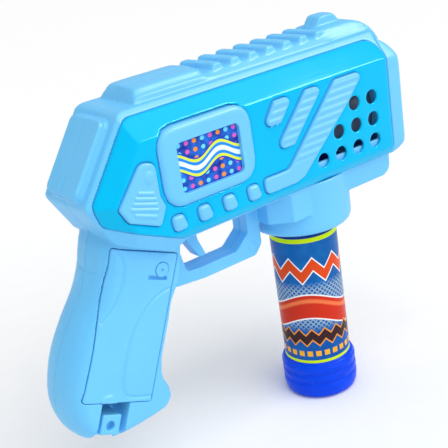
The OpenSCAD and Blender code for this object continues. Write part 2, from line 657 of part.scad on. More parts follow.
module half_shell(side) {
    difference() {
        union() {
            difference() {
                shell_outside();
                shell_inside(side);
                // Seat of the side panel
                mirrored(side) difference() {
                    slab(rounded(inset(panel_outline, -0.25)), 0, far / 8);
                    skin(rim_gap);
                }
            }
            cradle_ribs(side);
            // Islands rise from the panel's seat
            mirrored(side) difference() {
                for (pts = islands) island(pts, 0, inner_half_w + wall / 2, body_half_w + island_proud);
                island(sticker_outline, -2, body_half_w - 0.6, body_half_w + 2);
            }
        }
        // Finger opening of the guard, and the slot for the trigger
        slab(rounded(guard_inner), -far / 8, far / 8);
        slab(box_outline(pivot_x - 8, floor_z - 2 * wall, pivot_x + 7, floor_z + wall + 0.5, 0),
            -trigger_half_t - slip, trigger_half_t + slip);
        translate([pivot_x, 0, pivot_z]) y_bar(-inner_half_w, inner_half_w, pin_r + seat / 2);
        mirrored(side) slab(rounded(vent_window), inner_half_w - 1, body_half_w + 1);
        if (side < 0) {
            door_prism(-slip);
            lanyard_recess();
            in_grip() translate([recess_u, 0, lug_v]) y_bar(-far / 8, -5, lanyard_r);
        }
        for (k = [0:len(posts) - 1]) translate([posts[k][0], 0, posts[k][1]]) {
            y_bar(side > 0 ? -1 : -post_face[k] + 1.5, body_half_w + 1, side > 0 ? screw_r + seat : screw_r);
            if (side > 0)
                y_bar(min(post_face[k] - head_sink, body_half_w), body_half_w + 5, screw_head_r + seat);
        }
        half_space(-side);
    }
}
module right_shell() { color(light_blue) half_shell(-1); }
module left_shell() { color(light_blue) half_shell(1); }

// Side panels, with windows for the islands and the vent holes
module side_panel() {
    difference() {
        intersection() {
            slab(rounded(panel_outline), 0, body_half_w);
            skin(0);
        }
        skin(panel_t);
        for (pts = islands) island(pts, -slip, 0, body_half_w + 1);
        for (p = vents) translate([p[0], 0, p[1]]) y_bar(0, body_half_w + 1, vent_d / 2);
    }
}
module right_panel() { color(cyan) mirrored(-1) side_panel(); }
module left_panel() { color(cyan) side_panel(); }
module sticker() {
    island(sticker_outline, 0, body_half_w - 0.6, body_half_w - 0.3);
}
module right_sticker() { color(deep_blue) mirrored(-1) sticker(); }
module left_sticker() { color(deep_blue) sticker(); }

// Bezel that closes the front, with the round mouth
module muzzle_bezel() {
    x0 = shell_front_x + seat;
    x1 = shell_front_x + bezel_l;
    color(light_blue) difference() {
        union() {
            intersection() {
                skin(panel_proud);
                slab(rounded([[x0, floor_z, 0], [x1 - 7, floor_z, 3], [x1, floor_z + 4.5, 3],
                    [x1, deck_z - 18.5, 8], [x1 - 5.5, deck_z - 7, 8], [x0, deck_z - 3, 0]]),
                    -body_half_w, body_half_w);
                translate([0, 0, -far / 4]) linear_extrude(far)
                    polygon(rounded([[x0, -body_half_w, 0], [x1 - 4, -body_half_w, 3],
                        [x1, -body_half_w + 5, 3], [x1, body_half_w - 5, 3],
                        [x1 - 4, body_half_w, 3], [x0, body_half_w, 0]]));
            }
            intersection() {
                skin(inner_gap + slip);
                slab(box_outline(x0 - 4, floor_z + wall + slip, x0 + 1, deck_z - 2 * wall, 0),
                    -body_half_w, body_half_w);
            }
        }
        at_drive() x_bar(x0 - 5, x1 + 1, mouth_r);
        nose(seat);
    }
}

// Battery door: a piece of the grip's right wall, held by one screw
module battery_door() {
    color(light_blue) difference() {
        intersection() {
            grip_solid();
            door_prism(0);
        }
        grip_hollow();
        // Room for the two cells behind it
        in_grip() for (k = [0, 1]) translate([cell_places[k][0], cell_places[k][1], cell_v0 - slip])
            cylinder(h = cell_l + 2 * slip, r = cell_r + slip);
        in_grip() translate([door_screw_u, 0, door_screw_v]) {
            y_bar(-far / 8, 0, screw_shank_r + slip);
            y_bar(-far / 8, -grip_half_t + 1, door_head_r + slip);
        }
        // Slot for prising the door off
        in_grip() slab(box_outline(door_screw_u - 6.5, door_screw_v - 4.8, door_screw_u + 3.5,
            door_screw_v - 3, 0), -far / 8, -grip_half_t + 1.2);
    }
}
module door_screw() {
    color(light_blue) in_grip() translate([door_screw_u, 0, door_screw_v]) difference() {
        union() {
            y_bar(-grip_half_t - 0.2, -grip_half_t + 0.8, door_head_r);
            y_bar(-grip_half_t + 0.5, -grip_half_t + 8.5, screw_shank_r);
        }
        translate([-0.6, -grip_half_t - 1, -0.6]) cube([1.2, 1.5, 1.2]);
    }
}

// Battery tray and its cells, in the frame of the grip
cell_u = 0.5;
cell_v0 = -17.5;
near_y = -6;
pair_gap = 0.3;
near_u = cell_r + pair_gap / 2;
far_y = near_y + sqrt(pow(2 * cell_r + pair_gap, 2) - near_u * near_u);
cell_places = [[cell_u + near_u, near_y], [cell_u - near_u, near_y], [cell_u, far_y]];
contact_t = 0.5;
spring_room = 3.4;
tray_v0 = cell_v0 - spring_room - slip;
tray_v1 = cell_v0 + cell_l + contact_t + slip;
tray_end = 1.5;
rail_t = 1.4;
module tray_end_plate(v) {
    for (p = cell_places) translate([p[0], p[1], v]) cylinder(h = tray_end, r = cell_r - 1);
    translate([cell_u - cell_r - 0.2 - rail_t, near_y - cell_r + 1, v])
        cube([2 * (cell_r + 0.2 + rail_t), far_y - near_y + 1.4 * cell_r, tray_end]);
}
module battery_tray() {
    color(dark_grey) in_grip() difference() {
        union() {
            tray_end_plate(tray_v0 - tray_end);
            tray_end_plate(tray_v1);
            // Side rails, and the boss that takes the door's screw
            for (side = [-1, 1])
                translate([cell_u + side * (cell_r + 0.2 + rail_t / 2) - rail_t / 2, near_y + cell_r + slip,
                    tray_v0 - 0.5]) cube([rail_t, far_y - near_y - cell_r, tray_v1 - tray_v0 + 1]);
            translate([door_screw_u, 0, door_screw_v])
                y_bar(-grip_half_t + wall + slip, -4, screw_shank_r + 1.6);
            translate([door_screw_u - 3, near_y - 5, tray_v1 + 0.5])
                cube([5, 7, door_screw_v - tray_v1 - screw_shank_r - 1]);
        }
        translate([door_screw_u, 0, door_screw_v])
            y_bar(-far / 8, -grip_half_t + 9.5, screw_shank_r + running);
    }
}
module cell(p) {
    nub_r = 2.7;
    nub_h = 1;
    color(dark_grey) in_grip() translate([p[0], p[1], cell_v0]) {
        cylinder(h = cell_l - nub_h, r = cell_r);
        cylinder(h = cell_l, r = nub_r);
    }
}
module lower_front_cell() { cell(cell_places[0]); }
module lower_rear_cell() { cell(cell_places[1]); }
module upper_cell() { cell(cell_places[2]); }
module battery_springs() {
    wire_r = 0.35;
    color(steel) in_grip() for (p = cell_places) translate([p[0], p[1], tray_v0 + wire_r + 0.1])
        sweep(coil(4, 2.6, spring_room - 2 * wire_r - 0.1, 3), wire_r, 6);
}
module battery_contacts() {
    color(steel) in_grip() for (p = cell_places)
        translate([p[0] - 4, p[1] - 4, tray_v1 - contact_t - seat]) cube([8, 8, contact_t]);
}

// Trigger with its pin, return spring and switch
module trigger() {
    color(light_blue) difference() {
        union() {
            slab(rounded(trigger_outline), -trigger_half_t, trigger_half_t);
            translate([pivot_x, 0, pivot_z]) y_bar(-trigger_half_t, trigger_half_t, hub_r);
        }
        translate([pivot_x, 0, pivot_z]) y_bar(-far / 8, far / 8, pin_r + running);
    }
}
module trigger_pin() {
    color(steel) translate([pivot_x, 0, pivot_z]) y_bar(-inner_half_w + wall, inner_half_w - wall, pin_r);
}
module trigger_spring() {
    wire_r = 0.4;
    color(steel) translate([spring_rear_x + wire_r + 0.1, 0, spring_z]) rotate([0, 90, 0])
        sweep(coil(2.6, 2.6, spring_l - 2 * wire_r - 0.2, 6), wire_r, 6);
}
module switch_body() {
    color(dark_grey) translate([switch_x, 0, horn_z - 3]) difference() {
        translate([0.5, -3, -3]) cube([6.5, 6, 7]);
        translate([0, -1.2 - slip / 2, -1.2 - slip / 2]) cube([4, 2.4 + slip, 2.4 + slip]);
    }
}
module switch_button() {
    color("white") translate([switch_x, 0, horn_z - 3]) translate([-2.4, -1.2, -1.2]) cube([4.2, 2.4, 2.4]);
}

// Motor, fan and gears
module motor() {
    color(steel) at_drive() difference() {
        intersection() {
            x_bar(motor_x, motor_front_x, motor_r);
            translate([motor_x, -motor_flat, -far / 8]) cube([motor_l, 2 * motor_flat, far / 4]);
        }
        x_bar(motor_x - 1, motor_front_x + 1, shaft_r + running);
    }
}
module motor_shaft() {
    color(steel) at_drive() x_bar(gear_x - 0.5, fan_x + fan_l - 1, shaft_r);
}
// Involute flank points from the root to the tip, for one side of a tooth
function flank(teeth, side) =
    let (r = gear_module * teeth / 2, base = r * cos(20), root = r - 1.1 * gear_module,
        tip = r + 0.85 * gear_module, play = 0.06 / r * 180 / PI, at = tan(20) * 180 / PI - 20)
    [for (k = [0:4]) let (q = max(base, root) + (tip - max(base, root)) * k / 4, a = acos(base / q),
        turn = side * (90 / teeth - play + at - (tan(a) * 180 / PI - a))) [q * cos(turn), q * sin(turn)]];
module gear_profile(teeth, start) {
    root = gear_module * teeth / 2 - 1.1 * gear_module;
    circle(r = root + 0.01);
    for (k = [0:teeth - 1]) rotate(start + 360 * k / teeth)
        polygon(concat([[root * 0.9, -0.3 * gear_module]], flank(teeth, -1),
            [for (i = [4:-1:0]) flank(teeth, 1)[i]], [[root * 0.9, 0.3 * gear_module]]));
}
module pinion() {
    color(brass) at_drive() along_x(gear_x - 0.3, gear_x + gear_w + 0.8) difference() {
        gear_profile(pinion_teeth, 90);
        circle(r = shaft_r + 0.02);
    }
}
module pump_gear() {
    color("white") at_pump() along_x(gear_x, gear_x + gear_w) difference() {
        gear_profile(pump_teeth, -90 + 180 / pump_teeth);
        circle(r = axle_r + 0.02);
    }
}
module pump_axle() {
    color(steel) at_pump() x_bar(pump_x0 + 0.2, gear_x + gear_w + 0.5, axle_r);
}
module pump_rotor() {
    lobe_r = 2.8;
    color("white") at_pump() difference() {
        union() {
            x_bar(pump_x0 + wall + slip, gear_x - slip, 5);
            for (k = [0:2]) rotate([120 * k, 0, 0]) {
                translate([0, rotor_r - lobe_r, 0])
                    x_bar(pump_x0 + wall + 1.5, pump_x0 + pump_l - 1.5, lobe_r);
                translate([pump_x0 + wall + 2, 0, -2]) cube([pump_l - wall - 4, rotor_r - lobe_r, 4]);
            }
        }
        x_bar(pump_x0, gear_x + 1, axle_r + 0.02);
    }
}
module pump_housing() {
    color(dark_grey) at_pump() difference() {
        x_bar(pump_x0, pump_x0 + pump_l, pump_out_r);
        x_bar(pump_x0 + wall, pump_x0 + pump_l + 1, pump_in_r);
        x_bar(pump_x0 - 1, pump_x0 + wall + 1, axle_r + running);
        // Open towards the right, where the tube comes and goes
        translate([pump_x0 + wall, -far / 8, -far / 8]) cube([pump_l, far / 8, far / 4]);
    }
}
module fan() {
    color(dark_grey) at_drive() difference() {
        union() {
            x_bar(fan_x, fan_x + fan_l, 5);
            intersection() {
                x_bar(fan_x, fan_x + fan_l, fan_r);
                for (k = [0:blade_count - 1]) rotate([360 * k / blade_count, 0, 0])
                    translate([fan_x + fan_l / 2, 0, 0]) rotate([0, 0, 35])
                    translate([-fan_l, -0.6, 3]) cube([2 * fan_l, 1.2, fan_r]);
            }
        }
        x_bar(fan_x - 1, fan_x + fan_l + 1, shaft_r + 0.02);
    }
}
module fan_shroud() {
    color(dark_grey) at_drive() difference() {
        x_bar(shroud_x0, shroud_x1, shroud_r);
        x_bar(shroud_x0 - 1, shroud_x1 + 1, shroud_in_r);
        translate([head_x + head_l / 2, 0, 0]) cylinder(h = far / 8, r = head_feed_r + slip);
    }
}
// Bubble head in the front of the shroud: film holes and a feed at the top
module bubble_head() {
    film_r = 3.6;
    head_out_r = shroud_in_r - seat;
    color(deep_blue) at_drive() difference() {
        union() {
            x_bar(head_x, head_x + head_l, head_out_r);
            translate([head_x + head_l / 2, 0, 0]) cylinder(h = shroud_r + 4, r = head_feed_r);
        }
        x_bar(head_x - 1, head_x + head_l + 1, film_r);
        for (k = [0:7]) rotate([45 * k + 22.5, 0, 0]) translate([0, 12, 0])
            x_bar(head_x - 1, head_x + head_l + 1, film_r);
        translate([head_x + head_l / 2, 0, 14]) cylinder(h = far / 8, r = tube_r + slip);
    }
}

// Soft feed tube: from the bottle's socket, round the pump's rotor and on to the bubble head
pump_mid_x = pump_x0 + wall + (pump_l - wall) / 2;
nipple_z = socket_top_z + socket_roof + 2;
loop_points = [for (a = [-90:22.5:90]) [pump_mid_x, loop_r * cos(a), pump_z + loop_r * sin(a)]];
feed_in = [[bottle_x, 0, nipple_z - 2], [bottle_x, 0, nipple_z], [bottle_x - 0.5, 0, nipple_z + 2],
    [bottle_x - 3.4, 0, floor_z + 1.7], [bottle_x - 8, 0, floor_z + 2.7], [bottle_x - 15, 0, floor_z + 3],
    [bottle_x - 23, -2, floor_z + 5.5], [88, -8, floor_z + 7.5], [74, -13.5, floor_z + 11],
    [63, -14.5, pump_z - 21], [pump_mid_x, -9, pump_z - loop_r - 0.6]];
feed_out = [[pump_mid_x, -7, pump_z + loop_r], [pump_mid_x + 6, -13, pump_z + loop_r - 2.5],
    [78, -14, 91], [110, -14, 91.5], [head_x - 12, -12, 94.5], [head_x - 3, -4.5, 97.5],
    [head_x + 1.6, -0.8, 97.2], [head_x + head_l / 2, 0, 94.4], [head_x + head_l / 2, 0, 91.5],
    [head_x + head_l / 2, 0, drive_z + shroud_r - 1]];
module feed_tube() {
    color([0.85, 0.9, 0.95])
        sweep(concat(smooth(feed_in, 3), loop_points, smooth(feed_out, 3)), tube_r, 8);
}
module dip_tube() {
    color([0.85, 0.9, 0.95]) translate([bottle_x, 0, 0]) difference() {
        translate([0, 0, 8 - bottle_drop]) cylinder(h = socket_top_z + bottle_drop - 8 - seat, r = dip_r);
        translate([0, 0, -bottle_drop]) cylinder(h = far, r = dip_r - 0.7);
    }
}
module drip_tray() {
    x0 = bottle_x + collar_r;
    x1 = shell_front_x - 10;
    half_w = chin_half_w - wall - slip;
    color(deep_blue) difference() {
        slab(box_outline(x0, chin_z + wall + 0.2, x1, floor_z - 0.5, 0), -half_w, half_w);
        slab(box_outline(x0 + 1.2, chin_z + wall + 1.6, x1 - 1.2, floor_z + 1, 0), 1.3 - half_w, half_w - 1.3);
    }
}

// Thread ridge: one and a quarter turns of a helix, standing out of radius r or into it
module thread(r, out, z, start) {
    steps = 30;
    turns = 1.25;
    up = sign(out) * thread_w / 2;
    ridge = [for (k = [0:steps])
        let (a = start + 360 * turns * k / steps, h = z + thread_pitch * turns * k / steps)
        each [for (q = [[r, up], [r + out, 0.55 * up], [r + out, -0.55 * up], [r, -up]])
            [q[0] * cos(a), q[0] * sin(a), h + q[1]]]];
    polyhedron(ridge, [[0, 1, 2, 3],
        for (k = [0:steps - 1], j = [0:3]) let (a = 4 * k + j, b = 4 * k + (j + 1) % 4)
            each [[a, a + 4, b], [b, a + 4, b + 4]],
        [for (j = [3:-1:0]) 4 * steps + j]]);
}
thread_z = socket_z0 + 3;
module bottle_socket() {
    color(light_blue) translate([bottle_x, 0, 0]) {
        difference() {
            union() {
                translate([0, 0, socket_z0])
                    cylinder(h = socket_top_z + socket_roof - socket_z0, r = socket_r + socket_wall);
                translate([0, 0, flange_z]) cylinder(h = 2.2, r = flange_r);
                translate([0, 0, socket_top_z])
                    cylinder(h = nipple_z - socket_top_z - seat, r = tube_r + 1.6);
            }
            translate([0, 0, socket_z0 - 1]) cylinder(h = socket_top_z - socket_z0 + 1, r = socket_r);
            translate([0, 0, socket_top_z - 1]) cylinder(h = far / 8, r = 1.2);
            translate([0, 0, nipple_z - 2.2]) cylinder(h = far / 8, r = tube_r + slip);
        }
        thread(socket_r + 0.15, -thread_h + 0.35, thread_z + thread_pitch / 2, 0);
    }
}
module bottle_gasket() {
    color("white") translate([bottle_x, 0, neck_top_z + seat / 2]) difference() {
        cylinder(h = gasket_t, r = neck_r);
        translate([0, 0, -1]) cylinder(h = gasket_t + 2, r = neck_r - 4);
    }
}

// Bottle: barrel, shoulder and neck above a wider ribbed base
base_top_z = base_h - bottle_drop;
shoulder_z = collar_z - 1.5;
neck_z = socket_z0 - slip - 1.2;
bottle_z = -bottle_drop;
rib_rise = (base_h - 5) / 3;
base_ribs = [[base_r - 3, bottle_z], [base_r - 1, bottle_z + 0.8], [base_r - 0.4, bottle_z + 2.5],
    for (k = [0:2]) let (z = bottle_z + 5 + k * rib_rise)
        each [[base_r, z], [base_r, z + 2.6], [base_r - 0.7, z + 3.4], [base_r - 0.7, z + rib_rise - 0.6]],
    [bottle_r, base_top_z]];
neck_in_r = neck_r - 1.5 * bottle_wall;
bottle_room = [[0, bottle_z + 2 * bottle_wall], [bottle_r - 2 * bottle_wall, bottle_z + 2 * bottle_wall],
    [bottle_r - bottle_wall, bottle_z + 5], [bottle_r - bottle_wall, shoulder_z - bottle_wall / 2],
    [neck_in_r, neck_z - bottle_wall / 2], [neck_in_r, neck_top_z + 1], [0, neck_top_z + 1]];
module bottle() {
    color(deep_blue) translate([bottle_x, 0, 0]) {
        difference() {
            rotate_extrude($fn = 72) polygon(concat([[0, bottle_z]], base_ribs, [[bottle_r, shoulder_z],
                [neck_r, neck_z], [neck_r, neck_top_z], [0, neck_top_z]]));
            rotate_extrude($fn = 72) polygon(bottle_room);
        }
        thread(neck_r - 0.15, thread_h + 0.15, thread_z, 0);
    }
}
module bottle_label() {
    color([0.1, 0.4, 0.75]) translate([bottle_x, 0, base_top_z + 0.8]) difference() {
        cylinder(h = shoulder_z - base_top_z - 1.4, r = bottle_r + label_t);
        translate([0, 0, -1]) cylinder(h = far / 4, r = bottle_r + 0.02);
    }
}

// Screws of the two halves, put in from the left
module case_screws() {
    color(steel) for (k = [0:len(posts) - 1]) translate([posts[k][0], 0, posts[k][1]]) {
        y0 = post_face[k] - head_sink;
        difference() {
            y_bar(y0 + seat, y0 + 1.8, screw_head_r - 0.2);
            for (turn = [0, 90]) rotate([0, turn, 0]) translate([-1.6, y0 + 1, -0.35]) cube([3.2, 1, 0.7]);
        }
        y_bar(max(-post_face[k] + 2.5, -8), y0 + 0.5, screw_r - running);
    }
}

// Leads from the battery tray to the switch and the motor
red_route = [[19, -9, 36], [22, -13, 43], [30, -14, 52], [44, -12, 60], [56, -8, 63], [61, -3.7, 61.5]];
black_route = [[17, 9, 36], [22, 13, 44], [34, 14, 54], [52, 14, 60], [68, 11, 61], [motor_x - 1, 5, 63]];
lead_r = 0.8;
module red_lead() { color("red") sweep(smooth(red_route, 4), lead_r, 8); }
module black_lead() { color("black") sweep(smooth(black_route, 4), lead_r, 8); }

right_shell();
left_shell();
right_panel();
left_panel();
muzzle_bezel();
right_sticker();
left_sticker();
battery_door();
door_screw();
battery_tray();
lower_front_cell();
lower_rear_cell();
upper_cell();
battery_springs();
battery_contacts();
trigger();
trigger_pin();
trigger_spring();
switch_body();
switch_button();
motor();
motor_shaft();
pinion();
fan();
fan_shroud();
bubble_head();
pump_housing();
pump_rotor();
pump_axle();
pump_gear();
feed_tube();
dip_tube();
drip_tray();
bottle_socket();
bottle_gasket();
bottle();
bottle_label();
case_screws();
red_lead();
black_lead();
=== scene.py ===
import math
from collections import namedtuple

import bpy
from mathutils import Matrix, Vector


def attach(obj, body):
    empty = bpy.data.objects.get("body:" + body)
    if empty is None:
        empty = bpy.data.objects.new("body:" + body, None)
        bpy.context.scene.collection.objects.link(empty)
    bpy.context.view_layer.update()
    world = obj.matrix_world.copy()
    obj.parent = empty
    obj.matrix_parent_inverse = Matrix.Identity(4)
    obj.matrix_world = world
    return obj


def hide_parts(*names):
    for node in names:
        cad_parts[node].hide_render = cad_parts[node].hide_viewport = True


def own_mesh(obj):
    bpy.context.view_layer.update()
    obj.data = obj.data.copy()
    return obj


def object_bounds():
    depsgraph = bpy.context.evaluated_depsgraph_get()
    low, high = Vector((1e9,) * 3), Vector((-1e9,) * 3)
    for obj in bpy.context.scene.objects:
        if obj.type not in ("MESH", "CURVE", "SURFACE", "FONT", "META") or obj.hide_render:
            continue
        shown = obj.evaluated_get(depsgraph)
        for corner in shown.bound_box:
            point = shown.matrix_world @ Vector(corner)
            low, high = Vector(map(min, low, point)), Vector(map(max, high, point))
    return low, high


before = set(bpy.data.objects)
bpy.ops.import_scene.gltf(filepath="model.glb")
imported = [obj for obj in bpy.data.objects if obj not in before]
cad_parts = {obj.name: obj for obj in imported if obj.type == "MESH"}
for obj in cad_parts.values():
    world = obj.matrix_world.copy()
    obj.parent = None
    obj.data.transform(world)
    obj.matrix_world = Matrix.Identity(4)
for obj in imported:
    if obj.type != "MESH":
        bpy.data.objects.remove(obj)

# Studio
# A sheet of white paper lies under the toy, in a white room with one broad soft lamp from the right.
# A small lamp in front of the toy only adds gloss, and a weak one lights it from above.
# The camera stands behind the right side and looks down a little, as the photograph was taken.
MM = 0.001
PAPER_SIZE = 12.0
PAPER_GAP = 0.4 * MM
ROOM_LIGHT = 0.62
SUN_SPOT = (0.2, -0.9, 1.0)
SUN_LIGHT = 1.65
SUN_SPREAD = math.radians(65)
CAMERA_SPOT = (-0.17863, -0.37053, 0.20489)
CAMERA_HEADING = math.radians(-34.0971)
CAMERA_TILT = math.radians(68.7294)
CAMERA_ROLL = math.radians(-8.9846)
CAMERA_LENS = 79.73
CAMERA_SENSOR_W = 36.0

# Small lamps: name, place, size, power, and whether they light matt faces too
GLOSS_LAMP = ("gloss_lamp", (0.71, -0.66, 0.61), 0.32, 9.0, False)
TOP_LAMP = ("top_lamp", (-0.10, -0.30, 1.20), 0.15, 0.8, True)

cad_low, cad_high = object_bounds()
middle = (cad_low + cad_high) / 2
Finish = namedtuple("Finish", "material nodes links shader place")


def tint(red, green, blue):
    """Screen colour, 0 to 255, as a linear colour."""
    levels = [v / 255 for v in (red, green, blue)]
    return tuple(v / 12.92 if v < 0.04045 else ((v + 0.055) / 1.055) ** 2.4 for v in levels) + (1.0,)


def new_finish(name):
    """Node material, with its shader and its Object coordinates at hand."""
    material = bpy.data.materials.new(name)
    material.use_nodes = True
    nodes = material.node_tree.nodes
    place = nodes.new("ShaderNodeTexCoord").outputs["Object"]
    return Finish(material, nodes, material.node_tree.links, nodes["Principled BSDF"], place)


def noise(finish, scale, detail=3.0, rough=0.55):
    """Cloudy value around 0.5."""
    cloud = finish.nodes.new("ShaderNodeTexNoise")
    cloud.inputs["Scale"].default_value = scale
    cloud.inputs["Detail"].default_value = detail
    cloud.inputs["Roughness"].default_value = rough
    finish.links.new(finish.place, cloud.inputs["Vector"])
    return cloud.outputs["Fac"]


def between(finish, value, low, high, start=0.0, end=1.0):
    """Value, spread from the range start to end over low to high."""
    spread = finish.nodes.new("ShaderNodeMapRange")
    spread.inputs["From Min"].default_value = start
    spread.inputs["From Max"].default_value = end
    spread.inputs["To Min"].default_value = low
    spread.inputs["To Max"].default_value = high
    finish.links.new(value, spread.inputs["Value"])
    return spread.outputs["Result"]


def mixed(finish, share, first, second):
    """Colour between two; each may be a colour or a socket. A Mix node takes colours at 6 and 7, out at 2."""
    blend = finish.nodes.new("ShaderNodeMix")
    blend.data_type = "RGBA"
    for socket, colour in ((blend.inputs[6], first), (blend.inputs[7], second)):
        if isinstance(colour, tuple):
            socket.default_value = colour
        else:
            finish.links.new(colour, socket)
    finish.links.new(share, blend.inputs[0])
    return blend.outputs[2]


def coated(finish, colour, rough, shine=0.5):
    """Gives the shader its colour, its roughness and its shine."""
    finish.links.new(colour, finish.shader.inputs["Base Color"])
    finish.links.new(rough, finish.shader.inputs["Roughness"])
    finish.shader.inputs["Specular IOR Level"].default_value = shine


def grained(finish, height, strength, depth):
    """Fine relief, its depth in mm."""
    bump = finish.nodes.new("ShaderNodeBump")
    bump.inputs["Strength"].default_value = strength
    bump.inputs["Distance"].default_value = depth * MM
    finish.links.new(height, bump.inputs["Height"])
    finish.links.new(bump.outputs["Normal"], finish.shader.inputs["Normal"])


def lamp_at(name, kind, power, spot, aim):
    """Lamp at a spot, shining along aim."""
    light = bpy.data.lights.new(name, kind)
    light.energy = power
    lamp = bpy.data.objects.new(name, light)
    bpy.context.scene.collection.objects.link(lamp)
    lamp.location = spot
    lamp.rotation_euler = aim.to_track_quat("-Z", "Y").to_euler()
    return lamp


paper = new_finish("white_paper")
fibres = noise(paper, scale=60)
coated(paper, mixed(paper, fibres, tint(251, 251, 252), tint(255, 255, 255)),
       between(paper, fibres, 0.8, 0.95), shine=0.1)
grained(paper, noise(paper, scale=900), strength=0.03, depth=0.3)
bpy.ops.object.select_all(action="DESELECT")
bpy.ops.mesh.primitive_plane_add(size=PAPER_SIZE, location=(middle.x, middle.y, cad_low.z - PAPER_GAP))
sheet = bpy.context.object
sheet.name = "paper_sheet"
sheet.data.materials.append(paper.material)

bpy.context.scene.view_settings.view_transform = "Standard"
room = bpy.data.worlds.new("white_room")
room.use_nodes = True
room.node_tree.nodes["Background"].inputs["Color"].default_value = (1, 1, 1, 1)
room.node_tree.nodes["Background"].inputs["Strength"].default_value = ROOM_LIGHT
bpy.context.scene.world = room
daylight = lamp_at("broad_lamp", "SUN", SUN_LIGHT, SUN_SPOT, -Vector(SUN_SPOT))
daylight.data.angle = SUN_SPREAD
for name, spot, size, power, lights_matt_faces in (GLOSS_LAMP, TOP_LAMP):
    lamp = lamp_at(name, "AREA", power, spot, middle - Vector(spot))
    lamp.data.size = size
    lamp.visible_diffuse = lights_matt_faces

view = bpy.data.cameras.new("camera")
view.sensor_width = CAMERA_SENSOR_W
view.lens = CAMERA_LENS
view.clip_start = 0.01
camera = bpy.data.objects.new("camera", view)
bpy.context.scene.collection.objects.link(camera)
camera.matrix_world = (Matrix.Translation(CAMERA_SPOT) @ Matrix.Rotation(CAMERA_HEADING, 4, "Z")
                       @ Matrix.Rotation(CAMERA_TILT, 4, "X") @ Matrix.Rotation(CAMERA_ROLL, 4, "Z"))
bpy.context.scene.camera = camera

# Half shells
# Two hollow mouldings of light blue plastic, the whole body with grip, guard, collar and rail.
# Five screws join them on the middle plane; all edges are soft, and the grip's faces are smooth curves.
LIGHT_BLUE = tint(105, 199, 250)
LIGHT_BLUE_DEEP = tint(99, 193, 247)
MOST_TRIANGLES = 190000
CORNER_GAP = 0.002
ARC_STEPS = 5

# Low round mark on the right of the trigger guard
GUARD_MARK = (82.7, -6.0, 15.8)
GUARD_MARK_R = 2.7
GUARD_MARK_RISE = 0.75

# Side outline of the grip, as (x, z), how far its edge rounds over, and where it ends under the body
GRIP_LOOP = [(42, 56), (40, 44), (37.5, 31), (34, 19.5), (28.5, 11), (25, 2.5), (21.3, -6), (18, -14),
             (17, -21.5), (19.2, -28), (19, -34.2), (13.6, -40), (3, -42), (-12, -42.5), (-23.5, -40),
             (-30.6, -32), (-33, -20.5), (-31, -9), (-26.4, 2.5), (-18.8, 14.5), (-10.2, 26), (-5, 36.5),
             (-1.6, 48), (7, 60), (26, 63)]
GRIP_HALF_T = 16.5
FRONT_ROUND = 3.4
BACK_ROUND = 8.5
GRIP_TOP_Z = 36.0
GRIP_FRONT_X = 34.5
CURVE_STEPS = 10
LIFT_STEP = 6

# Rail and nose: where their rounding begins, and two wedges, as (x, z), that seat the nose on the bezel
RAIL_FOOT_Z = 105.0
RAIL_FADE = 1.5
RAIL_SHARE = 0.45
SEAM_KEPT = 1.0
SEAM_FADE = 3.0
NOSE_X = 166.0
NOSE_LOW_Z = 90.0
NOSE_HALF_W = 12.9
SILL_HALF_W = 16.5
BROW = [(163.5, 104.0), (163.5, 96.0), (171.0, 91.0), (174.2, 91.0), (174.5, 99.0), (170.0, 104.0)]
SILL = [(161.0, 102.6), (161.0, 97.0), (165.6, 97.0), (165.6, 102.2)]
WEDGE_R = 0.1


def alone(piece):
    """Makes a piece the only one selected, in object mode."""
    if bpy.context.object and bpy.context.object.mode != "OBJECT":
        bpy.ops.object.mode_set(mode="OBJECT")
    bpy.ops.object.select_all(action="DESELECT")
    piece.select_set(True)
    bpy.context.view_layer.objects.active = piece


def plastic(name, colour, deep, rough, grain=0.05, shine=0.5, glint=(1, 1, 1, 1)):
    """Moulded plastic: cloudy colour, a fine grain and a gloss that varies a little."""
    finish = new_finish(name)
    cloud = between(finish, noise(finish, scale=26), 0.0, 1.0, 0.3, 0.7)
    gloss = between(finish, noise(finish, scale=140), rough - 0.05, rough + 0.06)
    coated(finish, mixed(finish, cloud, deep, colour), gloss, shine)
    grained(finish, noise(finish, scale=1500, detail=2.0), grain, depth=0.3)
    finish.shader.inputs["Specular Tint"].default_value = glint
    return finish.material


def cast_copy(node, name):
    """Own copy of a solid's mesh, with its corners joined."""
    piece = bpy.data.objects.new(name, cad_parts[node].data.copy())
    bpy.context.scene.collection.objects.link(piece)
    piece.data.materials.clear()
    alone(piece)
    bpy.ops.object.mode_set(mode="EDIT")
    bpy.ops.mesh.select_all(action="SELECT")
    bpy.ops.mesh.remove_doubles(threshold=CORNER_GAP * MM)
    bpy.ops.object.mode_set(mode="OBJECT")
    return piece


def apply_modifiers(piece):
    alone(piece)
    for name in [modifier.name for modifier in piece.modifiers]:
        bpy.ops.object.modifier_apply(modifier=name)


def rubbed(piece, rounds):
    """Modifier that rubs a piece smooth, not yet applied."""
    rub = piece.modifiers.new("rub", "SMOOTH")
    rub.factor = 0.5
    rub.iterations = rounds
    return rub


def moulded(piece, grid, rounds):
    """Fuses what was joined to the piece and softens its edges, as a mould does."""
    skin = piece.modifiers.new("skin", "REMESH")
    skin.mode = "VOXEL"
    skin.voxel_size = grid * MM
    rubbed(piece, rounds)
    apply_modifiers(piece)
    count = sum(len(face.vertices) - 2 for face in piece.data.polygons)
    if count > MOST_TRIANGLES:
        thin = piece.modifiers.new("thin", "DECIMATE")
        thin.ratio = MOST_TRIANGLES / count
        apply_modifiers(piece)
    alone(piece)
    bpy.ops.object.shade_smooth()
    return piece


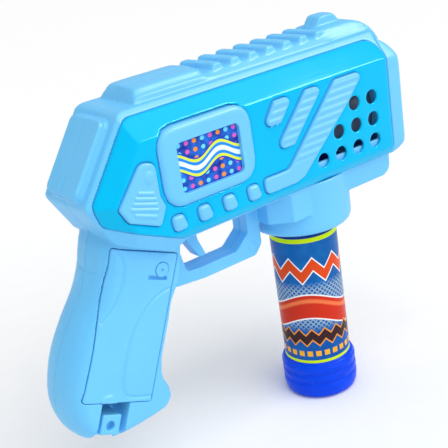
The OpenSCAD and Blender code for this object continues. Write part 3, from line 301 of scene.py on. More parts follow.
def softer_where(piece, share_at, rounds, sideways=False):
    """Rounds a piece more where share_at, a function of a point in mm, is over 0; sideways moves only y."""
    group = piece.vertex_groups.new(name="softer")
    for vertex in piece.data.vertices:
        share = share_at(*(vertex.co / MM))
        if share > 0:
            group.add([vertex.index], min(1.0, share), "REPLACE")
    rub = rubbed(piece, rounds)
    rub.vertex_group = group.name
    rub.use_x = not sideways
    rub.use_z = not sideways
    apply_modifiers(piece)
    piece.vertex_groups.clear()


def fitted(piece, material, body, slot, *nodes):
    """Gives a piece its material and its body, and hides the solids that it stands for; slot is not used."""
    piece.data.materials.append(material)
    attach(piece, body)
    if nodes:
        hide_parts(*nodes)


def join_to(piece, extras):
    alone(piece)
    for extra in extras:
        extra.select_set(True)
    bpy.context.view_layer.objects.active = piece
    bpy.ops.object.join()


def dome(x, y, z, r, proud):
    """Low round button on a side face."""
    bpy.ops.object.select_all(action="DESELECT")
    bpy.ops.mesh.primitive_uv_sphere_add(
        segments=32, ring_count=16, radius=r * MM, location=(x * MM, y * MM, z * MM), scale=(1, proud / r, 1))
    bpy.ops.object.transform_apply(location=True, rotation=True, scale=True)
    return bpy.context.object


def rounded(corners):
    """Outline of (x, z, radius) corners with its corners turned into arcs."""
    outline = []
    for i, (x, z, radius) in enumerate(corners):
        here = Vector((x, z))
        to_last = (Vector(corners[i - 1][:2]) - here).normalized()
        to_next = (Vector(corners[(i + 1) % len(corners)][:2]) - here).normalized()
        half = math.acos(max(-1.0, min(1.0, to_last.dot(to_next)))) / 2
        centre = here + (to_last + to_next).normalized() * radius / math.sin(half)
        first = here + to_last * radius / math.tan(half) - centre
        last = here + to_next * radius / math.tan(half) - centre
        turn = first.angle_signed(last)
        for k in range(ARC_STEPS + 1):
            outline.append(centre + Matrix.Rotation(-turn * k / ARC_STEPS, 2) @ first)
    return outline


def plate(corners, side, foot, face, crown):
    """Plate with a rounded side outline, and a crown of (inset, rise) steps on its face."""
    outline = rounded(corners)
    bpy.ops.object.select_all(action="DESELECT")
    bpy.ops.mesh.primitive_circle_add(vertices=len(outline), fill_type="NGON")
    piece = bpy.context.object
    for vertex, spot in zip(piece.data.vertices, outline):
        vertex.co = (spot.x * MM, side * foot * MM, spot.y * MM)
    bpy.ops.object.mode_set(mode="EDIT")
    bpy.ops.mesh.select_all(action="SELECT")
    bpy.ops.mesh.extrude_region_move(TRANSFORM_OT_translate={"value": (0, side * (face - foot) * MM, 0)})
    bpy.ops.mesh.select_all(action="SELECT")
    bpy.ops.mesh.normals_make_consistent(inside=False)
    bpy.ops.mesh.select_all(action="DESELECT")
    bpy.ops.object.mode_set(mode="OBJECT")
    for polygon in piece.data.polygons:
        polygon.select = polygon.normal.y * side > 0.9
    bpy.ops.object.mode_set(mode="EDIT")
    bpy.ops.mesh.select_mode(type="FACE")
    for inset, rise in crown:
        bpy.ops.mesh.inset(thickness=inset * MM, depth=rise * MM)
    bpy.ops.object.mode_set(mode="OBJECT")
    return piece


def wedge(outline, side, foot, face):
    return plate([(x, z, WEDGE_R) for x, z in outline], side, foot, face, crown=())


def on_curve(a, b, c, d, t):
    """Point between b and c on a smooth curve through four points."""
    return (2 * b + (c - a) * t + (2 * a - 5 * b + 4 * c - d) * t * t + (3 * b - a - 3 * c + d) * t ** 3) / 2


def grip_form():
    """Fine form of the grip that the cast faces are drawn on to."""
    loop = [Vector(p) for p in GRIP_LOOP]
    count = len(loop)
    curve = [on_curve(loop[i - 1], loop[i], loop[(i + 1) % count], loop[(i + 2) % count], k / CURVE_STEPS)
             for i in range(count) for k in range(CURVE_STEPS)]
    size = len(curve)
    lifts = [math.radians(a) for a in range(-90, 91, LIFT_STEP)]
    points = []
    for lift in lifts:
        for i in range(size):
            along = (curve[(i + 1) % size] - curve[i - 1]).normalized()
            inward = Vector((along.y, -along.x))
            depth = FRONT_ROUND + (BACK_ROUND - FRONT_ROUND) * (1 + inward.x) / 2
            spot = curve[i] + inward * depth * (1 - math.cos(lift))
            points.append((spot.x * MM, GRIP_HALF_T * math.sin(lift) * MM, spot.y * MM))
    faces = [(k * size + i, k * size + (i + 1) % size, (k + 1) * size + (i + 1) % size, (k + 1) * size + i)
             for k in range(len(lifts) - 1) for i in range(size)]
    faces += [tuple(range(size - 1, -1, -1)), tuple((len(lifts) - 1) * size + i for i in range(size))]
    mesh = bpy.data.meshes.new("grip_form")
    mesh.from_pydata(points, [], faces)
    form = bpy.data.objects.new("grip_form", mesh)
    bpy.context.scene.collection.objects.link(form)
    alone(form)
    bpy.ops.object.mode_set(mode="EDIT")
    bpy.ops.mesh.select_all(action="SELECT")
    bpy.ops.mesh.normals_make_consistent(inside=False)
    bpy.ops.object.mode_set(mode="OBJECT")
    bpy.ops.object.shade_smooth()
    return form


def drawn_on(piece, form, reach):
    """Draws the outer faces of the grip that lie within reach of its fine form on to it."""
    group = piece.vertex_groups.new(name="grip_face")
    chosen = []
    for vertex in piece.data.vertices:
        if vertex.co.z < GRIP_TOP_Z * MM and vertex.co.x < GRIP_FRONT_X * MM:
            hit, spot, normal, _ = form.closest_point_on_mesh(vertex.co)
            if hit and (spot - vertex.co).length < reach * MM and normal.dot(vertex.normal) > 0.6:
                chosen.append(vertex.index)
    group.add(chosen, 1.0, "REPLACE")
    draw = piece.modifiers.new("draw", "SHRINKWRAP")
    draw.wrap_method = "NEAREST_SURFACEPOINT"
    draw.target = form
    draw.vertex_group = group.name
    apply_modifiers(piece)
    piece.vertex_groups.clear()


def rail_softness(x, y, z):
    """How far the edges of the rail and of its nose are rounded over: not at all at the seam."""
    inside = (z - RAIL_FOOT_Z) / RAIL_FADE if x < NOSE_X else z - NOSE_LOW_Z
    return RAIL_SHARE * min(inside, (abs(y) - SEAM_KEPT) / SEAM_FADE, 1.0)


light_plastic = plastic("light_blue_plastic", LIGHT_BLUE, LIGHT_BLUE_DEEP, rough=0.42)
fine_grip = grip_form()
for node, side in (("right_shell", -1), ("left_shell", 1)):
    shell = cast_copy(node, "moulded_" + node)
    extras = [wedge(BROW, side, 0.0, NOSE_HALF_W), wedge(SILL, side, NOSE_HALF_W - 1, SILL_HALF_W)]
    if side < 0:
        extras.append(dome(*GUARD_MARK, GUARD_MARK_R, GUARD_MARK_RISE))
    join_to(shell, extras)
    moulded(shell, grid=0.45, rounds=6)
    softer_where(shell, rail_softness, rounds=60)
    drawn_on(shell, fine_grip, reach=0.8)
    fitted(shell, light_plastic, "body", "light_plastic", node)

# Raised islands
# Soft pads of the half shells that stand up through the panels: a framed window for the sticker, a slider
# with grip lines, three ribbed slashes and four buttons. They are moulded in one with the shells.
# Outlines are (x, z, radius) corners, and crowns are (inset, rise) steps from just under the face.
FOOT_Y = 25.4
FACE_Y = 27.2
FRAME = [(26.5, 58.6, 9), (76.5, 58.6, 9), (76.5, 94.6, 9), (26.5, 94.6, 9)]
FRAME_DROP = 0.8
FRAME_CROWN = ((0.25, 0.6), (0.6, 0.6), (1.0, 0.45), (1.2, 0.15))
STICKER_MID = (52.2, 75.4)
STICKER_HALF_W = 17.0
STICKER_HALF_H = 11.5
STICKER_R = 2.5
WELL_DROPS = (1.25, 0.7)
WELL_FLARE = ((-0.6, 0.9), (-0.9, 0.6), (-0.9, 0.9))

SLIDER = [(24, 67.3, 4), (26, 61.8, 1.5), (22, 53.6, 2), (7, 60.2, 2), (3.2, 67.3, 1.8), (16.8, 83.8, 4),
          (24.1, 82.2, 4)]
SLIDER_DROP = 0.2
SLIDER_CROWN = ((0.35, 0.5), (0.5, 0.3))
SLIDER_LINES = [((13.0, 71.8), (20.8, 69.2)), ((11.2, 69.9), (21.2, 66.6)), ((9.9, 67.9), (21.4, 64.1)),
                ((8.4, 66.0), (21.6, 61.6)), ((9.8, 63.0), (20.2, 58.9))]
SLIDER_LINE_Y = FACE_Y + 0.55
SLIDER_LINE_HALF_W = 0.8
SLIDER_LINE_RISE = 0.65
KNOB_X = 19.8
KNOB_Y = FACE_Y + 0.45
KNOB_Z = 76.6
KNOB_R = 2.9
KNOB_RISE = 0.8

SLASH_TOP = 90.4
SMALL_SLASH = [(91, SLASH_TOP, 1.5), (102.6, SLASH_TOP, 2.5), (93.5, 79.3, 1.5), (83, 79.3, 2.5)]
MIDDLE_SLASH = [(110, SLASH_TOP, 1.5), (121.6, SLASH_TOP, 2.5), (99.8, 67, 1.5), (88.6, 67, 2.5)]
LONG_SLASH = [(128.5, SLASH_TOP, 1.5), (148, SLASH_TOP, 2.5), (135.6, 77.6, 4), (103.5, 50, 4),
              (98.5, 48.6, 4), (80.2, 48.6, 2.5), (79.4, 56.2, 2), (95, 56.2, 4)]
SLASH_CROWN = ((0.2, 0.4), (0.4, 0.2))
SLASH_LEAN = 0.75

# Each slash with the height that its cross ribs reach down to
RIBBED_DOWN_TO = ((SMALL_SLASH, 79.3), (MIDDLE_SLASH, 67.0), (LONG_SLASH, 57.0))
RIB_STEP = 3.5
RIB_RISE = 0.24
RIB_START_X = 82.0
RIB_TOP_GAP = 2.2
RIB_MARGIN = 0.5
RIB_FADE = 0.8
RIB_EDGE = 0.1

# First button's lower corner, and how far its upper corners lie from it
BUTTON_X = 28.5
BUTTON_Z = 48.3
BUTTON_STEP = 14.0
BUTTON_SIZE = 7.4
BUTTON_LEAN = (-1.2, 5.2)
BUTTON_R = 2.0
BUTTON_DROP = 0.4
BUTTON_CROWN = ((0.25, 0.55), (0.6, 0.5), (0.7, 0.25))


def ridge(start, end, y, half_w, proud):
    """Half-round bar on a side face, between two points of it given as (x, z)."""
    bpy.ops.object.select_all(action="DESELECT")
    bpy.ops.mesh.primitive_cylinder_add(
        vertices=20, radius=half_w * MM, depth=math.dist(start, end) * MM,
        location=((start[0] + end[0]) / 2 * MM, y * MM, (start[1] + end[1]) / 2 * MM),
        rotation=(0, math.atan2(end[0] - start[0], end[1] - start[1]), 0), scale=(1, proud / half_w, 1))
    bpy.ops.object.transform_apply(location=True, rotation=True, scale=True)
    return bpy.context.object


def crossings(outline, z):
    """Lowest and highest x of a side outline at the height z."""
    found = []
    for (x0, z0, _), (x1, z1, _) in zip(outline, outline[1:] + outline[:1]):
        if (z0 - z) * (z1 - z) < 0:
            found.append(x0 + (x1 - x0) * (z - z0) / (z1 - z0))
    return min(found), max(found)


def sticker_frame(side):
    """Crowned frame with a sloped well for the sticker."""
    pad = plate(FRAME, side, FOOT_Y, FACE_Y - FRAME_DROP, FRAME_CROWN)
    corners = [(STICKER_MID[0] + a * STICKER_HALF_W, STICKER_MID[1] + b * STICKER_HALF_H, STICKER_R)
               for a, b in ((-1, -1), (1, -1), (1, 1), (-1, 1))]
    well = plate(corners, side, FACE_Y - WELL_DROPS[0], FACE_Y - WELL_DROPS[1], WELL_FLARE)
    cut = pad.modifiers.new("well", "BOOLEAN")
    cut.operation = "DIFFERENCE"
    cut.object = well
    apply_modifiers(pad)
    bpy.data.objects.remove(well)
    return pad


def side_islands(side):
    """All pads of one side, joined but not yet fused."""
    pads = [sticker_frame(side)]
    for corners in (SMALL_SLASH, MIDDLE_SLASH, LONG_SLASH):
        pads.append(plate(corners, side, FOOT_Y, FACE_Y, SLASH_CROWN))
    pads.append(plate(SLIDER, side, FOOT_Y, FACE_Y - SLIDER_DROP, SLIDER_CROWN))
    pads.append(dome(KNOB_X, side * KNOB_Y, KNOB_Z, KNOB_R, KNOB_RISE))
    for start, end in SLIDER_LINES:
        pads.append(ridge(start, end, side * SLIDER_LINE_Y, SLIDER_LINE_HALF_W, SLIDER_LINE_RISE))
    top = BUTTON_Z + BUTTON_SIZE
    for k in range(4):
        x = BUTTON_X + BUTTON_STEP * k
        corners = [(x, BUTTON_Z, BUTTON_R), (x + BUTTON_SIZE, BUTTON_Z, BUTTON_R),
                   (x + BUTTON_LEAN[1], top, BUTTON_R), (x + BUTTON_LEAN[0], top, BUTTON_R)]
        pads.append(plate(corners, side, FOOT_Y, FACE_Y - BUTTON_DROP, BUTTON_CROWN))
    join_to(pads[0], pads[1:])
    return pads[0]


def ribbed(piece, side):
    """Presses soft cross ribs into the faces of the three slashes, fading out at their edges."""
    facing = [vertex.normal.y * side > 0.8 for vertex in piece.data.vertices]
    for vertex in piece.data.vertices:
        x, y, z = vertex.co / MM
        if not facing[vertex.index] or abs(y) < FACE_Y or z > SLASH_TOP - RIB_EDGE or x < RIB_START_X:
            continue
        for corners, foot in RIBBED_DOWN_TO:
            if z < foot + RIB_EDGE:
                continue
            low, high = crossings(corners, z)
            if low < x < high:
                margin = min(SLASH_LEAN * (x - low), SLASH_LEAN * (high - x), SLASH_TOP - z, z - foot)
                fade = max(0.0, min(1.0, (margin - RIB_MARGIN) / RIB_FADE))
                wave = math.cos(2 * math.pi * (SLASH_TOP - RIB_TOP_GAP - z) / RIB_STEP)
                vertex.co.y += side * RIB_RISE * wave * fade * MM


for name, side in (("right_islands", -1), ("left_islands", 1)):
    islands = side_islands(side)
    islands.name = name
    moulded(islands, grid=0.32, rounds=2)
    ribbed(islands, side)
    fitted(islands, light_plastic, "body", "light_plastic")

# Side panels
# Thin covers of glossy cyan plastic, one on each side, pressed into a seat of the half shell.
# Windows let the light blue islands through, and nine vent holes lie behind the muzzle.
# Their folds and rims are soft, apart from the lower rim, which closes on the collar.
CYAN = tint(0, 189, 241)
CYAN_DEEP = tint(0, 183, 236)
CYAN_GLINT = (0.3, 0.85, 1.0, 1.0)
LOW_RIM_KEPT = 1.0
LOW_RIM_FADE = 3.0
cyan_plastic = plastic("cyan_plastic", CYAN, CYAN_DEEP, rough=0.12, grain=0.02, shine=0.3, glint=CYAN_GLINT)
for node in ("right_panel", "left_panel"):
    panel = moulded(cast_copy(node, "moulded_" + node), grid=0.44, rounds=4)
    crisp_z = min(vertex.co.z for vertex in panel.data.vertices) / MM + LOW_RIM_KEPT
    softer_where(panel, lambda x, y, z: (z - crisp_z) / LOW_RIM_FADE, rounds=25, sideways=True)
    fitted(panel, cyan_plastic, "body", "cyan_plastic", node)

# Muzzle bezel
# Rounded frame of light blue plastic round the mouth, pushed on to the front of the body.
# It is one moulding with a smooth bore, and its front edges are rounded far more than the rest.
BEZEL_ROUND_X = (166.0, 171.0)
NOSE_SIDE_KEPT = 1.0
NOSE_SIDE_FADE = 4.0


def bezel_softness(x, y, z):
    """How far the bezel is rounded over: most at its front, not at all beside the nose."""
    share = min(1.0, (x - BEZEL_ROUND_X[0]) / (BEZEL_ROUND_X[1] - BEZEL_ROUND_X[0]))
    if z > NOSE_LOW_Z:
        share *= min(1.0, max(0.0, (abs(y) - NOSE_HALF_W - NOSE_SIDE_KEPT) / NOSE_SIDE_FADE))
    return share


bezel = moulded(cast_copy("muzzle_bezel", "moulded_bezel"), grid=0.5, rounds=4)
softer_where(bezel, bezel_softness, rounds=130)
fitted(bezel, light_plastic, "body", "light_plastic", "muzzle_bezel")

# Side stickers
# Glossy printed film in the framed recess of each side: a blue ground, a lime wave and a grid of dots.
# The print is plain and without words; the film is glued flat.
DOT_STEP_X = 4.3
DOT_STEP_Z = 3.9
DOT_REACH = 0.26
DOT_PINK = tint(225, 95, 190)
DOT_ORANGE = tint(250, 150, 40)
DOT_SKY = tint(110, 220, 250)
WAVE_PER_MM = 0.26
WAVE_RISE = 2.6
WAVE_INKS = ((4.6, (20, 60, 190)), (3.9, (225, 245, 60)), (2.6, (30, 140, 240)), (1.1, (235, 248, 255)))


def maths(finish, action, first, second=0.0):
    """One sum; each side may be a number or a socket."""
    step = finish.nodes.new("ShaderNodeMath")
    step.operation = action
    for socket, value in zip(step.inputs, (first, second)):
        if isinstance(value, (int, float)):
            socket.default_value = value
        else:
            finish.links.new(value, socket)
    return step.outputs[0]


def plus(finish, first, second):
    return maths(finish, "ADD", first, second)


def minus(finish, first, second):
    return maths(finish, "SUBTRACT", first, second)


def times(finish, first, second):
    return maths(finish, "MULTIPLY", first, second)


def apart(finish, first, second):
    """How far two values lie from each other."""
    return maths(finish, "ABSOLUTE", minus(finish, first, second))


def part_of(finish, value, period):
    """Share of the period that value has run through, from 0 to 1."""
    return maths(finish, "FRACT", maths(finish, "DIVIDE", value, period))


def below(finish, value, limit, soft=0.12):
    """1 where value is under the limit, 0 above it, with a soft edge."""
    return between(finish, value, 1.0, 0.0, limit - soft, limit + soft)


def ribbon(finish, colour, gap, reach, ink):
    """Colour with a ribbon of ink where gap is under reach."""
    return mixed(finish, below(finish, gap, reach), colour, tint(*ink))


def axes_mm(finish):
    """Place on the object in mm, as three sockets."""
    split = finish.nodes.new("ShaderNodeSeparateXYZ")
    finish.links.new(finish.place, split.inputs[0])
    return [times(finish, axis, 1 / MM) for axis in split.outputs]


def dressed(node, material):
    """Gives a solid that is kept as it is its material."""
    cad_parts[node].data.materials.clear()
    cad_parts[node].data.materials.append(material)


film = new_finish("printed_film")
x, _, z = axes_mm(film)
across = minus(film, x, STICKER_MID[0])
up = minus(film, z, STICKER_MID[1])
cloud = between(film, noise(film, scale=260, detail=4.0), 0.0, 1.0, 0.35, 0.7)
ground = mixed(film, cloud, tint(18, 38, 150), tint(30, 120, 235))
cell_x = minus(film, part_of(film, across, DOT_STEP_X), 0.5)
cell_z = minus(film, part_of(film, up, DOT_STEP_Z), 0.5)
dot = maths(film, "SQRT", plus(film, times(film, cell_x, cell_x), times(film, cell_z, cell_z)))
column = part_of(film, across, 3 * DOT_STEP_X)
dot_colour = mixed(film, below(film, column, 0.34, 0.01), DOT_ORANGE, DOT_PINK)
dot_colour = mixed(film, below(film, column, 0.67, 0.01), DOT_SKY, dot_colour)
colour = mixed(film, below(film, dot, DOT_REACH, 0.03), ground, dot_colour)
wave = times(film, maths(film, "SINE", times(film, across, WAVE_PER_MM)), WAVE_RISE)
away = apart(film, up, wave)
for reach, ink in WAVE_INKS:
    colour = ribbon(film, colour, away, reach, ink)
coated(film, colour, between(film, noise(film, scale=160), 0.16, 0.26), shine=0.2)
grained(film, noise(film, scale=420), strength=0.04, depth=0.2)
for node in ("right_sticker", "left_sticker"):
    dressed(node, film.material)

# Battery door
# Curved cover of the grip's right wall in the same light blue plastic, held by one screw at its top.
# Two shallow contour lines and a short slot are pressed into its face, and a thumb rest stands out below.
# Their places are given across and up the tilted grip.
GRIP_TILT = math.radians(23.6)
REAR_LINE = [(-14.5, 43.2), (-11.5, 41.5), (-9.6, 37.5), (-8.8, 32), (-9.0, 26), (-10.6, 20), (-13.0, 15.2),
             (-15.6, 11.4)]
FRONT_LINE = [(16.6, 28.4), (13.4, 26.8), (9.0, 23.2), (5.6, 18.0), (3.0, 12.6), (1.2, 6.6), (0.3, 0.2),
              (0.0, -7.0), (0.4, -14.0), (1.2, -19.0), (3.4, -22.2), (7.8, -22.8), (13.0, -22.7),
              (16.6, -22.5)]
LINE_HALF_W = 0.7
LINE_DEPTH = 0.65
THUMB_MID = (-5.2, -24.6)
THUMB_HALF = (4.6, 3.6)
THUMB_RISE = 0.8
THUMB_SLOPE = 0.45
SLOT_MID = (9.0, 32.8)
SLOT_HALF = (5.0, 0.9)
SLOT_DEPTH = 0.8
SLOT_SLOPE = 0.4
OUTER_WALL = 6.0


def gap_to(line, spot):
    """Shortest way from a point to a line of straight runs."""
    best = math.inf
    for start, end in zip(line, line[1:]):
        a = Vector(start)
        b = Vector(end)
        share = max(0.0, min(1.0, (spot - a).dot(b - a) / (b - a).length_squared))
        best = min(best, (a + (b - a) * share - spot).length)
    return best


def door_relief(piece):
    """Presses the contour lines and the slot into the door's outer face and raises the thumb rest."""
    facing = [vertex.normal.y < -0.5 for vertex in piece.data.vertices]
    for vertex in piece.data.vertices:
        x, y, z = vertex.co / MM
        if y > OUTER_WALL - GRIP_HALF_T or not facing[vertex.index]:
            continue
        across = x * math.cos(GRIP_TILT) - z * math.sin(GRIP_TILT)
        up = x * math.sin(GRIP_TILT) + z * math.cos(GRIP_TILT)
        spot = Vector((across, up))
        gap = min(gap_to(REAR_LINE, spot), gap_to(FRONT_LINE, spot))
        shift = LINE_DEPTH * math.exp(-(gap / LINE_HALF_W) ** 2)
        thumb = math.hypot((across - THUMB_MID[0]) / THUMB_HALF[0], (up - THUMB_MID[1]) / THUMB_HALF[1])
        shift -= THUMB_RISE * max(0.0, min(1.0, (1.0 - thumb ** 2) / THUMB_SLOPE))
        margin = min(SLOT_HALF[0] - abs(across - SLOT_MID[0]), SLOT_HALF[1] - abs(up - SLOT_MID[1]))
        shift += SLOT_DEPTH * max(0.0, min(1.0, margin / SLOT_SLOPE))
        vertex.co.y += shift * MM


door = moulded(cast_copy("battery_door", "moulded_door"), grid=0.35, rounds=2)
drawn_on(door, fine_grip, reach=0.45)
door_relief(door)
fitted(door, light_plastic, "door", "light_plastic", "battery_door")
bpy.data.objects.remove(fine_grip)

# Door screw
# Captive lock screw of the battery door, moulded in the door's own plastic with a small square socket.
# It turns in the door's hole and bites into a post of the battery tray.
door_screw = moulded(cast_copy("door_screw", "moulded_door_screw"), grid=0.12, rounds=3)
fitted(door_screw, light_plastic, "door_screw", "light_plastic", "door_screw")

# Battery tray and cells
# A dark plastic tray in the grip holds three wrapped cells, with steel contact plates at the top.
# Conical springs of steel wire press on the flat ends; the cells are dark with a copper-coloured end.
CELL_TOP = 32.0
COPPER_END = CELL_TOP - 15.0
BARE_TOP = CELL_TOP - 0.2
PRINT_EDGE = 0.05


def metal(name, colour, deep, rough, scale=420):
    """Bare metal with fine drawn streaks and a patchy gloss."""
    finish = new_finish(name)
    streaks = noise(finish, scale, detail=4.0, rough=0.65)
    gloss = between(finish, noise(finish, scale=90), rough - 0.08, rough + 0.1)
    coated(finish, mixed(finish, between(finish, streaks, 0.0, 1.0, 0.3, 0.7), deep, colour), gloss)
    grained(finish, streaks, strength=0.06, depth=0.2)
    finish.shader.inputs["Metallic"].default_value = 1.0
    return finish.material


def softened(node, name):
    """Rounder copy of a wound or soft solid."""
    piece = cast_copy(node, name)
    fuller = piece.modifiers.new("fuller", "SUBSURF")
    fuller.levels = 1
    fuller.render_levels = 1
    apply_modifiers(piece)
    bpy.ops.object.shade_smooth()
    return piece


dark_plastic = plastic("dark_grey_plastic", tint(58, 62, 72), tint(48, 52, 62), rough=0.45, grain=0.08)
steel = metal("bright_steel", tint(205, 208, 212), tint(178, 182, 188), rough=0.3)
dressed("battery_tray", dark_plastic)
dressed("battery_contacts", steel)
wrap = new_finish("cell_wrap")
x, _, z = axes_mm(wrap)
rise = plus(wrap, times(wrap, x, math.sin(GRIP_TILT)), times(wrap, z, math.cos(GRIP_TILT)))
scuff = noise(wrap, scale=220, detail=4.0)
colour = mixed(wrap, between(wrap, scuff, 0.0, 1.0, 0.35, 0.75), tint(26, 28, 34), tint(44, 46, 54))
colour = mixed(wrap, below(wrap, rise, COPPER_END, PRINT_EDGE), tint(196, 128, 70), colour)
colour = mixed(wrap, below(wrap, rise, BARE_TOP, PRINT_EDGE), tint(200, 203, 206), colour)
bare = between(wrap, rise, 0.0, 1.0, COPPER_END - PRINT_EDGE, COPPER_END + PRINT_EDGE)
wrap.links.new(bare, wrap.shader.inputs["Metallic"])
coated(wrap, colour, between(wrap, scuff, 0.22, 0.36))
grained(wrap, scuff, strength=0.05, depth=0.2)
for node in ("lower_front_cell", "lower_rear_cell", "upper_cell"):
    dressed(node, wrap.material)
fitted(softened("battery_springs", "wound_battery_springs"), steel, "body", "steel", "battery_springs")

# Trigger
# Curved finger lever of light blue plastic that turns on a steel pin inside the body.
# A steel coil spring brings it back, and its horn presses the button of a small switch.
trigger = moulded(cast_copy("trigger", "moulded_trigger"), grid=0.3, rounds=6)
fitted(trigger, light_plastic, "trigger", "light_plastic", "trigger")
white_plastic = plastic("white_plastic", tint(244, 245, 246), tint(232, 234, 238), rough=0.4, grain=0.06)
dressed("trigger_pin", steel)
spring = softened("trigger_spring", "wound_trigger_spring")
fitted(spring, steel, "body", "steel", "trigger_spring")
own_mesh(spring)
dressed("switch_body", dark_plastic)
dressed("switch_button", white_plastic)

# Drive
# A small motor in a steel can turns the fan in front of it and, through a brass pinion, the pump's gear.
# The fan blows through the bubble head, a disc with film holes in the front of the shroud.
brass = metal("turned_brass", tint(214, 176, 96), tint(188, 148, 74), rough=0.28)
motor_can = metal("motor_can_steel", tint(190, 194, 200), tint(160, 165, 172), rough=0.36, scale=260)
smoky_plastic = plastic("smoky_plastic", tint(92, 116, 146), tint(78, 100, 130), rough=0.35)
blue_plastic = plastic("deep_blue_plastic", tint(0, 78, 238), tint(0, 66, 226), rough=0.25, grain=0.03,
                       shine=0.12)
dressed("motor", motor_can)
dressed("motor_shaft", steel)
dressed("pinion", brass)
dressed("fan", dark_plastic)
dressed("fan_shroud", smoky_plastic)
dressed("bubble_head", blue_plastic)

# Pump and tubes
# A peristaltic pump: a white rotor with three lobes rolls on a soft silicone tube in a dark housing.
# The tube leads from the bottle's socket round the rotor to the bubble head.
silicone = plastic("milky_silicone", tint(226, 233, 240), tint(212, 222, 232), rough=0.35, grain=0.04)
clear_plastic = plastic("clear_tube_plastic", tint(222, 236, 246), tint(208, 226, 240), rough=0.2, grain=0.02)
dressed("pump_housing", dark_plastic)
dressed("pump_rotor", white_plastic)
dressed("pump_axle", steel)
dressed("pump_gear", white_plastic)
fitted(softened("feed_tube", "soft_feed_tube"), silicone, "body", "silicone", "feed_tube")
dressed("dip_tube", clear_plastic)
dressed("drip_tray", blue_plastic)

# Bottle socket
# Threaded cup of light blue plastic in the collar that takes the bottle's neck, with a silicone ring on top.
# The ring seals the neck when the bottle is screwed home.
RING_EDGE = 0.3
dressed("bottle_socket", light_plastic)
ring = cast_copy("bottle_gasket", "soft_gasket")
edge = ring.modifiers.new("edge", "BEVEL")
edge.width = RING_EDGE * MM
edge.segments = 3
apply_modifiers(ring)
bpy.ops.object.shade_smooth_by_angle(angle=math.radians(40))
fitted(ring, silicone, "gasket", "silicone", "bottle_gasket")

# Screws and leads
# Five steel screws in deep bores of the left half hold the body together.
# A red and a black lead, copper in soft plastic, join the tray, the switch and the motor.
RED_SHEATH = (tint(206, 34, 30), tint(180, 24, 24))
BLACK_SHEATH = (tint(34, 34, 36), tint(24, 24, 26))
dressed("case_screws", steel)
for node, (colour, deep), slot in (
    ("red_lead", RED_SHEATH, "red_wire"),
    ("black_lead", BLACK_SHEATH, "black_wire"),
):
    lead = softened(node, "soft_" + node)
    fitted(lead, plastic(slot + "_sheath", colour, deep, rough=0.4), "body", slot, node)

# Solution bottle
# Blow-moulded tube of glossy deep blue plastic with a ribbed foot and a threaded neck.
# It screws into the socket in the collar.
bottle = moulded(cast_copy("bottle", "moulded_bottle"), grid=0.5, rounds=2)
fitted(bottle, blue_plastic, "bottle", "blue_plastic", "bottle")

# Bottle label
# Printed sleeve of glossy film round the bottle, with lime borders and plain bands of pattern; a dark band at
# its top is painted shade under the collar.
# The pattern is without words or pictures: chevrons, a wave, a zigzag and dashes.
# Heights are those of the toy at rest, and what repeats does so a whole number of times around.
BOTTLE_X = 120.0
LABEL_R = 17.5
AROUND = 2 * math.pi * LABEL_R
GROUND_Z = (-50.0, 10.0)
LATTICE_COUNT = 40
LATTICE_Z = (-38.0, -14.0)
LATTICE_REACH = 0.34
CHEVRON_COUNT = 9
CHEVRON_Z = -9.0
CHEVRON_RISE = 7.0
CHEVRON_INKS = ((4.1, (245, 248, 250)), (3.2, (222, 74, 24)))
TIDE_COUNT = 2.0
TIDE_Z = -30.0
TIDE_RISE = 4.5
TIDE_INKS = ((7.2, (238, 240, 244)), (6.4, (206, 48, 26)))
STREAK_UP = 3.2
STREAK_REACH = 1.1
ZIGZAG_COUNT = 16
ZIGZAG_Z = -45.5
ZIGZAG_RISE = 3.6
ZIGZAG_INKS = ((3.6, (235, 150, 50)), (2.6, (58, 32, 36)))
DASH_COUNT = 24
DASH_Z = (-54.6, -51.6)
DASH_REACH = 0.62
# Heights of a dark band above the top lime border: painted shade where the collar overhangs the label
NECK_SHADE_Z = (12.4, 20.0)
LIME_BORDERS = ((-60.0, -57.1), (10.0, 12.4))


def zigzag(finish, value, count):
    """Triangle wave, from 1 to 0 and back, that fits so many times around the label."""
    part = part_of(finish, value, AROUND / count)
    return times(finish, apart(finish, part, 0.5), 2.0)


def band(finish, height, low, high, soft=0.12):
    """1 between two heights of the label."""
    return times(finish, between(finish, height, 0.0, 1.0, low - soft, low + soft),
                 below(finish, height, high, soft))


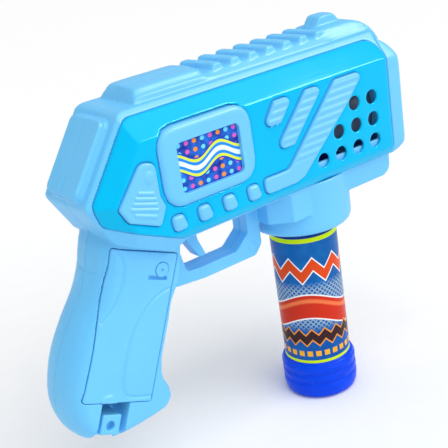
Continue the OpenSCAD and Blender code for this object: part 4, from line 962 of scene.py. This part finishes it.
sleeve = new_finish("printed_sleeve")
x, y, z = axes_mm(sleeve)
turn = maths(sleeve, "ARCTAN2", y, minus(sleeve, x, BOTTLE_X))
arc = times(sleeve, turn, LABEL_R)
colour = mixed(sleeve, between(sleeve, z, 0.0, 1.0, *GROUND_Z), tint(8, 82, 164), tint(6, 94, 168))
drift = between(sleeve, noise(sleeve, scale=120, detail=4.0), 0.0, 0.5, 0.45, 0.75)
colour = mixed(sleeve, drift, colour, tint(24, 122, 196))
lattice = maths(sleeve, "MINIMUM", zigzag(sleeve, plus(sleeve, arc, z), LATTICE_COUNT),
                zigzag(sleeve, minus(sleeve, arc, z), LATTICE_COUNT))
lattice = times(sleeve, below(sleeve, lattice, LATTICE_REACH, 0.08), band(sleeve, z, *LATTICE_Z, soft=2.0))
colour = mixed(sleeve, lattice, colour, tint(150, 175, 195))
peaks = times(sleeve, zigzag(sleeve, arc, CHEVRON_COUNT), CHEVRON_RISE)
chevron = apart(sleeve, minus(sleeve, z, CHEVRON_Z), peaks)
for reach, ink in CHEVRON_INKS:
    colour = ribbon(sleeve, colour, chevron, reach, ink)
swell = times(sleeve, maths(sleeve, "SINE", times(sleeve, turn, TIDE_COUNT)), TIDE_RISE)
tide = minus(sleeve, minus(sleeve, z, TIDE_Z), swell)
for reach, ink in TIDE_INKS:
    colour = ribbon(sleeve, colour, maths(sleeve, "ABSOLUTE", tide), reach, ink)
streak = below(sleeve, apart(sleeve, tide, STREAK_UP), STREAK_REACH, 0.5)
colour = mixed(sleeve, streak, colour, tint(240, 120, 70))
teeth = times(sleeve, zigzag(sleeve, arc, ZIGZAG_COUNT), ZIGZAG_RISE)
tooth = apart(sleeve, minus(sleeve, z, ZIGZAG_Z), teeth)
for reach, ink in ZIGZAG_INKS:
    colour = ribbon(sleeve, colour, tooth, reach, ink)
dash = below(sleeve, zigzag(sleeve, arc, DASH_COUNT), DASH_REACH, 0.06)
colour = mixed(sleeve, times(sleeve, dash, band(sleeve, z, *DASH_Z)), colour, tint(246, 176, 40))
# Painted shade: dark navy band at the top of the label, under the collar
colour = mixed(sleeve, band(sleeve, z, *NECK_SHADE_Z), colour, tint(4, 52, 130))
for low, high in LIME_BORDERS:
    colour = mixed(sleeve, band(sleeve, z, low, high), colour, tint(208, 238, 16))
coated(sleeve, colour, between(sleeve, noise(sleeve, scale=150), 0.2, 0.3), shine=0.12)
grained(sleeve, noise(sleeve, scale=320), strength=0.05, depth=0.2)
dressed("bottle_label", sleeve.material)
